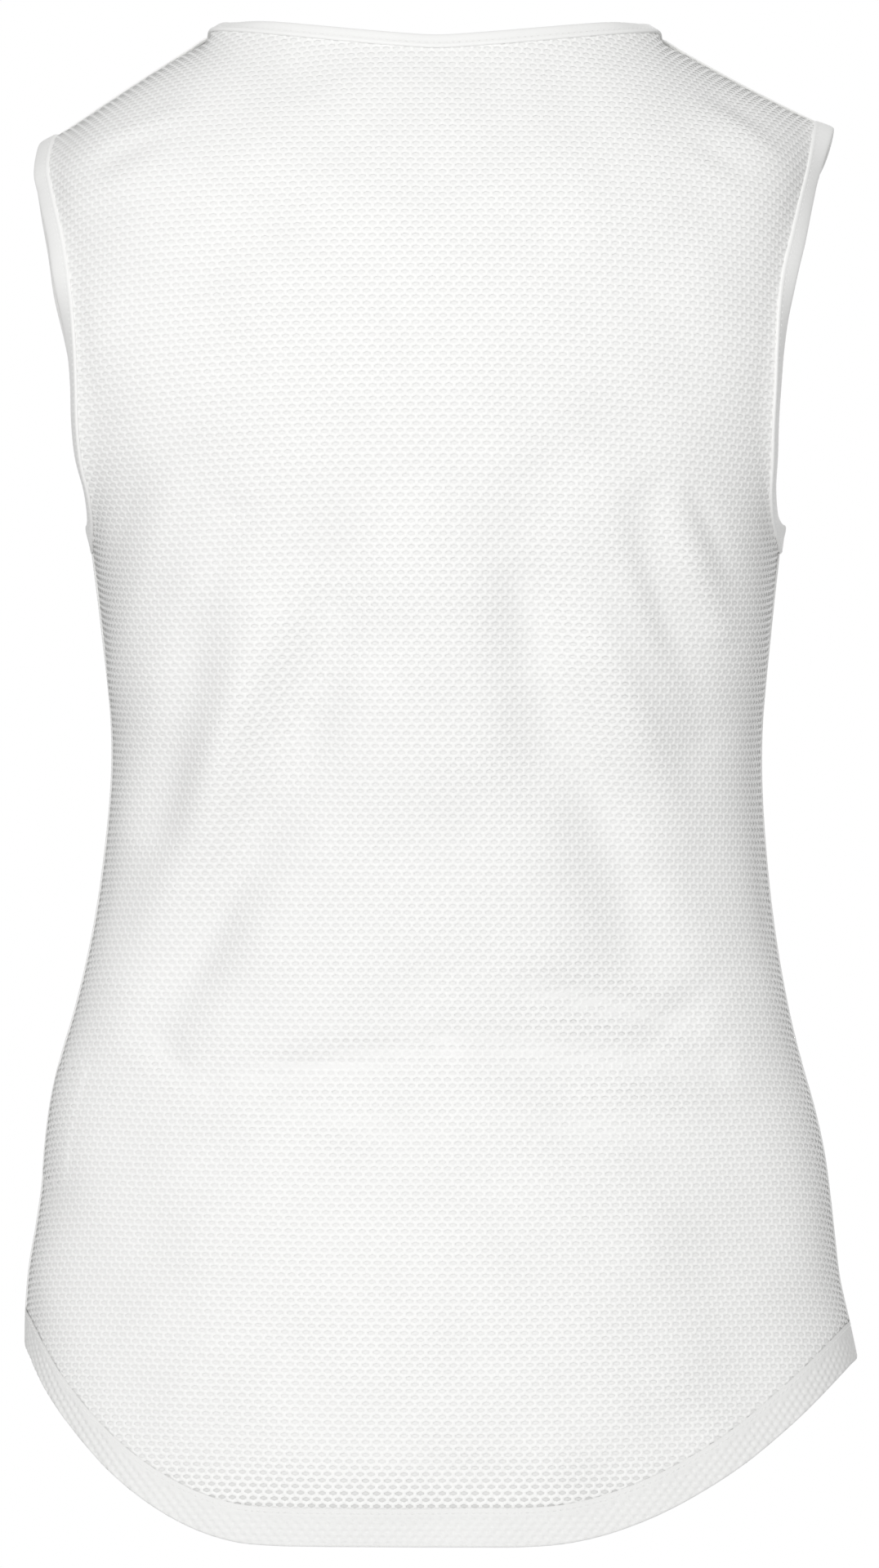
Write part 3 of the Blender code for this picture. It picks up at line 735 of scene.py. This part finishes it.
def widened(points, normals, flat):
    """The three grids with one more cell past the sides and top: the cloth inside bindings and covers."""

    def on(grid, points, edge, before):
        long = np.linalg.norm(points[edge] - points[before], axis=-1)
        return grid[edge] + (grid[edge] - grid[before]) * (TUCK / long)[:, None]

    every = slice(None)

    def with_sides(grid):
        right = on(grid, points, (every, 0), (every, TUCK_CELLS))
        left = on(grid, points, (every, -1), (every, -1 - TUCK_CELLS))
        return np.concatenate([right[:, None], grid, left[:, None]], axis=1)

    wide_points, wide_flat = with_sides(points), with_sides(flat)
    more = [on(grid, wide_points, -1, -1 - TUCK_CELLS)[None] for grid in (wide_points, wide_flat)]
    wide_points = np.concatenate([wide_points, more[0]])
    wide_flat = np.concatenate([wide_flat, more[1]])
    wide_normals = np.concatenate([normals[:, :1], normals, normals[:, -1:]], axis=1)
    wide_normals = np.concatenate([wide_normals, wide_normals[-1:]])
    return wide_points, wide_normals, wide_flat


def placed(name, data):
    """A new object of this data in the scene."""
    made = bpy.data.objects.new(name, data)
    bpy.context.scene.collection.objects.link(made)
    return made


def mesh_piece(name, points, faces, finish, normals=None, uvs=None):
    """A piece from points, with normals and places on the flat cloth for each, in millimetres."""
    mesh = bpy.data.meshes.new(name)
    mesh.from_pydata((points.reshape(-1, 3) * MM).tolist(), [], faces)
    mesh.shade_smooth()
    if uvs is not None:
        layer = mesh.uv_layers.new(name="flat_cloth")
        corners = np.empty(len(mesh.loops), np.int32)
        mesh.loops.foreach_get("vertex_index", corners)
        uvs = (uvs.reshape(-1, 2) * MM).astype(np.float32)
        layer.data.foreach_set("uv", uvs[corners].ravel())
    mesh.materials.append(MATERIALS[finish])
    if normals is not None:
        mesh.normals_split_custom_set_from_vertices(normals.reshape(-1, 3).tolist())
    made = placed(name, mesh)
    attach(made, "root")
    return made


def web_piece(name, face, panel):
    """The knitted web of a panel, cut off along its cloth's edge, with holes in staggered rows."""
    points, normals, flat = widened(*panel)
    low, high = flat.reshape(-1, 2).min(axis=0), flat.reshape(-1, 2).max(axis=0)
    first_row, last_row = int(low[1] / ROW_PITCH) - 1, int(high[1] / ROW_PITCH) + 1
    first, last = int(low[0] / PITCH) - 2, int(high[0] / PITCH) + 2
    j, i = np.meshgrid(np.arange(first_row, last_row + 1), np.arange(first, last + 1), indexing="ij")
    centres = np.stack([(i + (j % 2) / 2) * PITCH, j * ROW_PITCH], axis=2)
    shape = centres.shape[:2]
    places = centres.reshape(-1, 2)
    ends = np.array(flat.shape[:2]) - 1
    web_from = HEM_WEB_FROM / (HEM_DEPTH + HEM_STEP) * FINE

    def cut_off(rows, columns):
        return np.clip(rows, web_from, ends[0]), np.clip(columns, 0, ends[1])

    rows, columns = located(flat, places, *first_guess(flat, places))
    near = sampled(flat, *cut_off(rows, columns))
    kept = np.nonzero(np.linalg.norm(near - places, axis=1) < PITCH)[0]
    index = np.full(shape[0] * shape[1], -1)
    index[kept] = np.arange(len(kept))
    index = index.reshape(shape)

    half = HOLE_WIDE / 2
    corners = np.array([(half, -HOLE_SIDE), (half, HOLE_SIDE), (0, HOLE_TOP)])
    corners = np.concatenate([corners, -corners])
    rim = (places[kept][:, None] + corners[None]).reshape(-1, 2)
    rim_rows, rim_columns = located(flat, rim, np.repeat(rows[kept], 6), np.repeat(columns[kept], 6))
    on_rows, on_columns = cut_off(rim_rows, rim_columns)
    off_cloth = (on_rows != rim_rows) | (on_columns != rim_columns)
    rim_points = sampled(points, on_rows, on_columns)
    rim_normals = sampled(normals, on_rows, on_columns)
    rim_flat = sampled(flat, on_rows, on_columns)
    middles = np.repeat(sampled(points, *cut_off(rows[kept], columns[kept])), 6, axis=0)
    inward = middles - rim_points
    inward /= np.maximum(np.linalg.norm(inward, axis=1, keepdims=True), HOLE_SIDE)
    rounded = unit(rim_normals + inward * THREAD_ROUND)
    padded = np.pad(index, ((0, 1), (1, 1)), constant_values=-1)
    r, c = np.indices(shape)

    def beside(rows_up, odd_step, even_step):
        """The index of each hole's neighbour in the row rows_up above, at these steps along, or -1."""
        return padded[r + rows_up, c + 1 + np.where(j % 2 == 1, odd_step, even_step)]

    east = beside(0, 1, 1)
    north_east = beside(1, 1, 0)
    north_west = beside(1, 0, -1)
    faces = []

    def add(holes, *corners_of):
        keep = np.all([h >= 0 for h in holes], axis=0)
        found = np.stack([holes[k][keep] * 6 + corner for k, corner in corners_of], axis=1)
        faces.extend(found[~off_cloth[found].all(axis=1)].tolist())

    add((index, east), (0, 0), (1, 4), (1, 3), (0, 1))
    add((index, north_east), (0, 1), (1, 5), (1, 4), (0, 2))
    add((index, north_west), (0, 2), (1, 0), (1, 5), (0, 3))
    add((index, east, north_east), (0, 1), (1, 3), (2, 5))
    add((index, north_east, north_west), (0, 2), (1, 4), (2, 0))
    if face == "back":
        faces = [corners_in[::-1] for corners_in in faces]
    return mesh_piece(name, rim_points, faces, "honeycomb_mesh", rounded, rim_flat)


def ground_piece(name, face, panel):
    """The fine ground behind the web, a little darker than it, so that the holes show painted shade and the
    cloth isn't seen through.
    """
    points, normals, flat = (grid[GROUND_FROM_ROW:] for grid in widened(*panel))
    low = points - normals * GROUND_IN
    rows, columns = np.arange(0, low.shape[0], GROUND_STEP), np.arange(0, low.shape[1], GROUND_STEP)
    rows, columns = np.union1d(rows, [low.shape[0] - 1]), np.union1d(columns, [low.shape[1] - 1])
    at = np.ix_(rows, columns)
    faces = strip_faces(len(rows), len(columns), flip=face == "back")
    return mesh_piece(name, low[at], faces, "ground_painted_shade", normals[at], flat[at])


def strip_faces(rows, columns, closed_rows=False, closed_columns=False, flip=False):
    """The quads of a grid of points in row order."""
    r = np.arange(rows if closed_rows else rows - 1)[:, None]
    c = np.arange(columns if closed_columns else columns - 1)[None, :]
    r_next, c_next = (r + 1) % rows, (c + 1) % columns
    corners = (r * columns + c, r * columns + c_next, r_next * columns + c_next, r_next * columns + c)
    faces = np.stack(np.broadcast_arrays(*corners), axis=2).reshape(-1, 4)
    return (faces[:, ::-1] if flip else faces).tolist()


def hem_piece(name, face, panel):
    """The turned-up hem: one folded strip, with the mesh's holes showing as dimples in its outer layer."""
    points, normals, flat = panel
    lengths = run_lengths(points[0])
    count = int(lengths[-1] / HEM_STEP_FINE)
    columns = np.interp(np.linspace(0, lengths[-1], count + 1), lengths, np.arange(len(lengths)))
    per_row = (HEM_DEPTH + HEM_STEP) / FINE
    ups = np.arange(0, HEM_UP + 1e-6, HEM_STEP_FINE)
    inside = [(up, "in") for up in ups[::-1] if up < HEM_DEPTH]
    section = [*inside, (-HEM_FOLD_DROP, "fold"), *((up, "out") for up in ups)]
    rows, uvs = [], []
    for up, where in section:
        at_rows = np.full(count + 1, up / per_row)
        place, normal, cloth = (sampled(grid, at_rows, columns) for grid in (points, normals, flat))
        lift = {"in": -HEM_IN, "fold": -HEM_FOLD_IN, "out": HEM_OUT}[where] * np.ones(count + 1)
        if where == "out":
            row_of = np.round(cloth[:, 1] / ROW_PITCH)
            across = cloth[:, 0] - (row_of % 2) / 2 * PITCH
            aside = across - np.round(across / PITCH) * PITCH
            above = cloth[:, 1] - row_of * ROW_PITCH
            near = eased(DIMPLE_STEEP * (1 - np.hypot(aside / DIMPLE_WIDE, above / DIMPLE_HIGH)))
            if up < HEM_STITCH_UP - HEM_PLAIN:
                lift -= DIMPLE * near
            if up > HEM_STITCH_UP + HEM_PLAIN:
                lift *= HEM_EDGE_LIFT
        rows.append(place + unit(normal) * lift[:, None])
        uvs.append(cloth)
    faces = strip_faces(len(rows), count + 1, flip=face == "front")
    return mesh_piece(name, np.array(rows), faces, "hem_mesh_painted_shade", None, np.array(uvs))


def threads(name, starts, ends, outs, thick=STITCH_THICK, rise=STITCH_RISE):
    """Short stitches, each a bowed thread between two points on the cloth."""
    sides, parts = STITCH_SIDES, STITCH_PARTS
    across = np.cross(outs, unit(ends - starts))
    t = np.linspace(0, 1, parts)
    lift = rise * np.sin(pi * t) - STITCH_SUNK
    slim = thick / 2 * (STITCH_END + (1 - STITCH_END) * np.sin(pi * t))
    spine = starts[:, None] + (ends - starts)[:, None] * t[:, None] + outs[:, None] * lift[:, None]
    turn = 2 * pi * np.arange(sides) / sides
    ring = across[:, None] * np.cos(turn)[:, None] + outs[:, None] * np.sin(turn)[:, None]
    points = spine[:, :, None] + ring[:, None] * slim[None, :, None, None]
    one = np.array(strip_faces(parts, sides, closed_columns=True))
    caps = [list(range(sides))[::-1], [(parts - 1) * sides + k for k in range(sides)]]
    faces = []
    for base in range(0, len(starts) * parts * sides, parts * sides):
        faces += (one + base).tolist()
        faces += [[v + base for v in cap] for cap in caps]
    mesh_piece(name, points, faces, "thread")


def at_lengths(wanted, lengths, values):
    """The values that go with a line, at these lengths along it."""
    return np.stack([np.interp(wanted, lengths, v) for v in values.T], axis=1)


def along_line(points, *others, step):
    """The line and what goes with it, at even steps of about this length."""
    lengths = run_lengths(points)
    wanted = np.linspace(0, lengths[-1], max(2, int(lengths[-1] / step)) + 1)
    return [at_lengths(wanted, lengths, v) for v in (points, *others)]


def stitch_row(name, line, outs, lift):
    """A row of stitches along a line on the cloth."""
    spots, ways = along_line(line, outs, step=STITCH_PITCH)
    ways = unit(ways)
    spots = spots + ways * lift
    ends = spots[:-1] + (spots[1:] - spots[:-1]) * STITCH_LONG / STITCH_PITCH
    threads(name, spots[:-1], ends, ways[:-1])


def loop_between(back, front, back_at, front_at):
    """(points, normals) of a closed loop of fine points along the two panels' edges."""
    points = np.concatenate([back[0][back_at], front[0][front_at]])
    return points, unit(np.concatenate([back[1][back_at], front[1][front_at]]))


def neck_loop(back, front):
    first = (HALF_COLUMNS - NECK_COLUMN) * FINE
    last = (HALF_COLUMNS + NECK_COLUMN) * FINE
    columns = np.arange(first, last + 1)
    top = np.full(len(columns), back[0].shape[0] - 1)
    return loop_between(back, front, (top, columns), (top[1:-1], columns[::-1][1:-1]))


def armhole_loop(back, front, column):
    """The loop round an armhole. Its first point is at the underarm."""
    last_row = back[0].shape[0] - 1
    rows = np.arange((BODY_ROWS + 1) * FINE, last_row + 1)
    columns = np.full(len(rows), column)
    return loop_between(back, front, (rows, columns), (rows[::-1][1:-1], columns[1:-1]))


def squared(wave, square):
    """The wave raised toward its own sign: below 1, square makes it boxier."""
    return np.sign(wave) * np.abs(wave) ** square


def smoothed_loop(values, rounds):
    """The values round a closed loop, eased toward their neighbours."""
    for _ in range(rounds):
        values = (np.roll(values, 1, axis=0) + 2 * values + np.roll(values, -1, axis=0)) / 4
    return values


def leaned(normals, weights, toward):
    """The directions, each turned toward another one by its weight."""
    return unit(normals + weights[:, None] * np.array(toward))


def neck_lean(points):
    from_end = np.abs(points[:, 0]) - (SHOULDERS[1]["neck_x"] + SHOULDERS[-1]["neck_x"]) / 2
    return NECK_LEAN * np.exp(-((from_end / NECK_LEAN_SPAN) ** 2))


def armhole_lean(points):
    return ARM_LEAN * eased((ARM_LEAN_FROM - points[:, 2]) / ARM_LEAN_SPAN)


def swept_piece(name, rings, spans, section, **how):
    """A strip of knit from its rings: spans is how far along it each lies, and section one ring's shape."""
    faces = strip_faces(len(spans), len(section), closed_columns=True, **how)
    uvs = np.stack(np.broadcast_arrays(spans[:, None], run_lengths(section)), axis=2)
    return mesh_piece(name, rings, faces, "binding_knit", None, uvs)


def band_pieces(name, points, cloth, turned, wide, wall, swell_at_start=0.0):
    """A binding: a folded strip of knit swept round an opening, gripping the cloth's edge, and its stitches.

    Cloth is the panels' direction at each point and turned the binding's.
    """
    points, cloth, turned = (np.concatenate([v, v[:1]]) for v in (points, cloth, turned))
    line, cloth, ways = along_line(points, cloth, turned, step=BAND_STEP)
    line = smoothed_loop(line[:-1], LINE_ROUNDS)
    cloth, ways = (unit(smoothed_loop(v[:-1], WAYS_ROUNDS)) for v in (cloth, ways))
    out = np.cross(np.roll(line, -1, axis=0) - np.roll(line, 1, axis=0), ways)
    out = unit(smoothed_loop(unit(out), OUT_ROUNDS))
    inward = np.einsum("ij,ij->i", out, line.mean(axis=0) - line).sum() > 0
    if not inward:
        out = -out
    half, deep = (wide + BAND_OVERLAP) / 2, wall / 2
    turn = np.arccos(np.clip(np.einsum("ij,ij->i", cloth, ways), 0, 1))
    gap = (SEAM_GAP + deep * np.sin(turn)) / np.cos(turn)
    stretch = 1 + gap / (wide + BAND_OVERLAP)

    span = np.arange(len(line)) * BAND_STEP
    from_start = np.minimum(span, span[-1] + BAND_STEP - span)
    swell = 1 + swell_at_start * np.exp(-((from_start / SWELL_LONG) ** 2))
    pucker = 1 + PUCKER * np.sin(2 * pi * span / STITCH_PITCH)
    round_it = 2 * pi * np.arange(BAND_SIDES) / BAND_SIDES
    flat_out = squared(np.cos(round_it), BAND_SQUARE_ACROSS) * half + half
    flat_up = squared(np.sin(round_it), BAND_SQUARE_UP) * deep
    for stitch in BAND_STITCHES:
        groove = np.exp(-(((flat_out - BAND_OVERLAP - stitch) / BAND_GROOVE_HALF) ** 2))
        flat_up = flat_up * (1 - BAND_GROOVE * groove)
    reach = flat_out[None] * stretch[:, None] - BAND_OVERLAP
    lift = flat_up[None] * (swell * pucker)[:, None]
    rings = line[:, None] + out[:, None] * reach[:, :, None] + ways[:, None] * lift[:, :, None]
    section = np.stack([flat_out, flat_up], axis=1)
    band = swept_piece(name, rings, span, section, closed_rows=True, flip=inward)
    outs = np.concatenate([ways, ways[:1]])
    for number, stitch in enumerate(BAND_STITCHES, 1):
        spots = line + out * ((stitch + BAND_OVERLAP) * stretch - BAND_OVERLAP)[:, None]
        spots = np.concatenate([spots, spots[:1]])
        for where, sign in (("outside", 1), ("inside", -1)):
            row_name = f"{name}_stitches_{where}_{number}"
            stitch_row(row_name, spots, outs * sign, deep * (1 - BAND_GROOVE))
    return band


def seam(name, back, front, at):
    """The flat seam along these places of the two panels' grids: a narrow strip, crossed by its stitches."""
    line = (back[0][at] + front[0][at]) / 2
    ways = back[1][at] + front[1][at]
    across = np.cross(np.gradient(line, axis=0), ways)
    line, ways, across = along_line(line, ways, across, step=COVER_STEP)
    ways, across = unit(ways), unit(across)
    share = np.linspace(-1, 1, COVER_POINTS)
    crown = 1 - share**4
    groove = COVER_GROOVE * np.exp(-((share / COVER_GROOVE_HALF) ** 2))
    above = COVER_THICK * crown * (1 - groove) + COVER_EDGE
    below = -GROUND_IN - COVER_INSIDE - COVER_INSIDE_THICK * crown
    section = np.array([*zip(share * COVER_HALF, above), *zip(share[::-1] * COVER_HALF, below[::-1])])
    rings = line[:, None] + across[:, None] * section[:, :1] + ways[:, None] * section[:, 1:]
    swept_piece(name, rings, np.arange(len(line)) * COVER_STEP, section)
    spots, ways, across = along_line(line, ways, across, step=LADDER_PITCH)
    reach = across * COVER_HALF * LADDER_REACH
    spots = spots + ways * COVER_THICK
    starts, ends = (spots - reach)[:-1], (spots + reach)[1:]
    threads(name + "_stitches", starts, ends, ways[:-1], LADDER_THICK, LADDER_RISE)


def label_piece(back):
    """The blank label inside the back's left side, a little curled."""
    points, normals, _ = back
    columns = points.shape[1] - 1 - np.arange(LABEL_GRID_COLUMNS)
    heights = points[:LABEL_GRID_ROWS, :, 2]
    wanted = np.linspace(LABEL_FROM, LABEL_FROM + LABEL_WIDE, LABEL_COLUMNS)
    rows, row_normals = [], []
    for z in np.linspace(LABEL_BOTTOM, LABEL_TOP, LABEL_ROWS):
        at_rows = np.array([np.interp(z, heights[:, c], np.arange(LABEL_GRID_ROWS)) for c in columns])
        strip, ways = (sampled(grid, at_rows, columns.astype(float)) for grid in (points, normals))
        lengths = run_lengths(strip)
        rows.append(at_lengths(wanted, lengths, strip))
        row_normals.append(at_lengths(wanted, lengths, ways))
    rows, row_normals = np.array(rows), unit(np.array(row_normals))
    shares = np.linspace(0, 1, LABEL_ROWS), np.linspace(0, 1, LABEL_COLUMNS)
    up, over = np.meshgrid(*shares, indexing="ij")
    curl = LABEL_CURL * over**2 + LABEL_RIPPLE * np.sin(5 * up + 2 * over)
    outer = rows - row_normals * (LABEL_DEEP + curl)[:, :, None]
    inner = outer - row_normals * LABEL_THIN
    faces = strip_faces(LABEL_ROWS, LABEL_COLUMNS)
    index = np.arange(LABEL_ROWS * LABEL_COLUMNS).reshape(LABEL_ROWS, LABEL_COLUMNS)
    far = [[v + index.size for v in f[::-1]] for f in faces]
    rim = [*index[0], *index[1:, -1], *index[-1, -2::-1], *index[-2:0:-1, 0]]
    rim = [int(v) for v in rim]
    sides = [[b, a, a + index.size, b + index.size] for a, b in zip(rim, rim[1:] + rim[:1])]
    uvs = np.stack([over * LABEL_WIDE, up * (LABEL_TOP - LABEL_BOTTOM)], axis=2)
    points, uvs, faces = np.stack([outer, inner]), np.stack([uvs, uvs]), faces + far + sides
    return mesh_piece("care_label_satin", points, faces, "label_satin", None, uvs)


class Nodes:
    """A material's nodes, made and linked in one call each."""

    def __init__(self, name, colour, roughness, sheen):
        self.material = bpy.data.materials.new(name)
        self.material.use_nodes = True
        self.tree = self.material.node_tree
        self.shader = self.tree.nodes["Principled BSDF"]
        self.shader.inputs["Base Color"].default_value = (*colour, 1)
        self.shader.inputs["Roughness"].default_value = roughness
        self.shader.inputs["Sheen Weight"].default_value = sheen
        self.shader.inputs["Sheen Roughness"].default_value = 0.5
        self.shader.inputs["Specular IOR Level"].default_value = 0.3

    def add(self, kind, inputs=None, **settings):
        node = self.tree.nodes.new(kind)
        for key, value in settings.items():
            setattr(node, key, value)
        for key, value in (inputs or {}).items():
            if isinstance(value, bpy.types.NodeSocket):
                self.tree.links.new(value, node.inputs[key])
            else:
                node.inputs[key].default_value = value
        return node

    def mix(self, low, high, share):
        """A mix of two colours by a node's result."""
        inputs = {"A": low, "B": high, "Factor": share.outputs["Result"]}
        return self.add("ShaderNodeMix", inputs, data_type="RGBA")

    def link(self, node, output, name):
        self.tree.links.new(node.outputs[output], self.shader.inputs[name])


def knit_material(name, colour, shade, roughness, loop_mm, strength, sheen, painted_hem_shade):
    """White knit: fine loops as bump, a slow change between two tones and, where given, painted shade
    darkening it toward the hem.
    """
    m = Nodes(name, colour, roughness, sheen)
    place = m.add("ShaderNodeTexCoord")
    loops = m.add(
        "ShaderNodeTexVoronoi",
        {"Vector": place.outputs["Object"], "Scale": 1 / (loop_mm * MM), "Randomness": 0.55},
        feature="SMOOTH_F1",
    )
    cloud = m.add(
        "ShaderNodeTexNoise",
        {"Vector": place.outputs["Object"], "Scale": CLOUD_SCALE, "Detail": 4.0, "Roughness": 0.6},
    )
    span = m.add("ShaderNodeMapRange", {"Value": cloud.outputs["Fac"], "From Min": 0.3, "From Max": 0.7})
    tone = m.mix((*shade, 1), (*colour, 1), span)
    # Painted shade: the ground is darkened toward the hem, standing in for the dark inside seen through the
    # mesh there
    if painted_hem_shade is not None:
        parts = m.add("ShaderNodeSeparateXYZ", {"Vector": place.outputs["Object"]})
        low = m.add(
            "ShaderNodeMapRange",
            {"Value": parts.outputs["Z"], "From Min": SHADE_FROM * MM, "From Max": SHADE_TO * MM},
            interpolation_type="SMOOTHSTEP",
        )
        tone = m.mix(tone.outputs["Result"], (*painted_hem_shade, 1), low)
    m.link(tone, "Result", "Base Color")
    bump = m.add(
        "ShaderNodeBump",
        {"Height": loops.outputs["Distance"], "Strength": strength, "Distance": loop_mm * MM / 2},
    )
    m.link(bump, "Normal", "Normal")
    low, high = roughness - ROUGHNESS_SPREAD, roughness + ROUGHNESS_SPREAD
    rough = m.add("ShaderNodeMapRange", {"Value": cloud.outputs["Fac"], "To Min": low, "To Max": high})
    m.link(rough, "Result", "Roughness")
    return m.material


MATERIALS = {name: knit_material(name, *finish) for name, finish in FINISHES.items()}


def camera():
    data = bpy.data.cameras.new("camera")
    data.sensor_width = SENSOR
    data.lens = SENSOR / 2 / (SEEN_HALF_HEIGHT / CAMERA_AWAY)
    made = placed("camera", data)
    made.location = (CAMERA_X, CAMERA_AWAY, CAMERA_Z)
    made.rotation_euler = (pi / 2, 0, pi)
    bpy.context.scene.camera = made


def softbox(name, place, power):
    """A square soft light that faces the garment."""
    data = bpy.data.lights.new(name, "AREA")
    data.shape = "SQUARE"
    data.size = LIGHT_SIZE
    data.energy = power
    made = placed(name, data)
    made.location = place
    away = unit(np.array(place) - np.array(LIGHT_TARGET))
    made.rotation_euler = (acos(away[2]), 0, np.arctan2(away[1], away[0]) + pi / 2)


def stage():
    world = bpy.data.worlds.new("studio")
    world.use_nodes = True
    nodes, links = world.node_tree.nodes, world.node_tree.links
    background = nodes["Background"]
    background.inputs["Color"].default_value = (1, 1, 1, 1)
    seen = nodes.new("ShaderNodeLightPath")
    strength = nodes.new("ShaderNodeMapRange")
    strength.inputs["To Min"].default_value = WORLD_LIGHT
    strength.inputs["To Max"].default_value = 1.0
    links.new(seen.outputs["Is Camera Ray"], strength.inputs["Value"])
    links.new(strength.outputs["Result"], background.inputs["Strength"])
    bpy.context.scene.world = world
    bpy.context.scene.view_settings.view_transform = "Standard"

    turns = np.linspace(0, 2 * pi, FLOOR_CORNERS + 1)[:-1]
    ring = [(FLOOR_RADIUS * cos(a), FLOOR_RADIUS * sin(a), FLOOR_Z) for a in turns]
    mesh = bpy.data.meshes.new("floor")
    mesh.from_pydata(ring, [], [list(range(len(ring)))])
    mesh.materials.append(Nodes("floor_pale", (0.9, 0.9, 0.9), 0.9, 0.0).material)
    floor = placed("floor", mesh)

    for name, place, power in LIGHTS:
        softbox(name, place, power)


def main():
    camera()
    stage()
    back, front = fine_panel("back"), fine_panel("front")
    for face, panel in (("back", back), ("front", front)):
        web = web_piece(face + "_panel_mesh", face, panel)
        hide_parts(face + "_panel")
        ground = ground_piece(face + "_panel_shade_backing", face, panel)
        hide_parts(face + "_panel")
        hem = hem_piece(face + "_hem", face, panel)
        above = HEM_STITCH_UP / (HEM_DEPTH + HEM_STEP) * FINE
        columns = np.arange(panel[0].shape[1]).astype(float)
        line, ways = (sampled(grid, np.full(len(columns), above), columns) for grid in panel[:2])
        stitch_row(face + "_hem_stitches", line, ways, HEM_OUT)

    points, cloth_ways = neck_loop(back, front)
    turned = leaned(cloth_ways, neck_lean(points), (0, 0, 1))
    neck = band_pieces("neck_binding_knit", points, cloth_ways, turned, NECK_BAND, NECK_BAND_WALL)
    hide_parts("neck_binding")
    last = back[0].shape[1] - 1
    shoulder_long = (HALF_COLUMNS - NECK_COLUMN) * FINE + 1
    side_rows = slice(0, (BODY_ROWS + 1) * FINE + 1)
    armholes = (("left", 1, last, JOIN_SWELL_LEFT), ("right", -1, 0, JOIN_SWELL_RIGHT))
    for name, side, column, swell in armholes:
        points, cloth_ways = armhole_loop(back, front, column)
        turned = leaned(cloth_ways, armhole_lean(points), (side, 0, 0))
        how = ARM_BAND, ARM_BAND_WALL, swell
        band = band_pieces(f"armhole_binding_{name}_knit", points, cloth_ways, turned, *how)
        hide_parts("armhole_binding_" + name)
        seam("side_seam_" + name, back, front, (side_rows, column))
        shoulder = slice(-shoulder_long, None) if side > 0 else slice(0, shoulder_long)
        seam("shoulder_seam_" + name, back, front, (-1, shoulder))
    label = label_piece(back)
    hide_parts("care_label")


main()
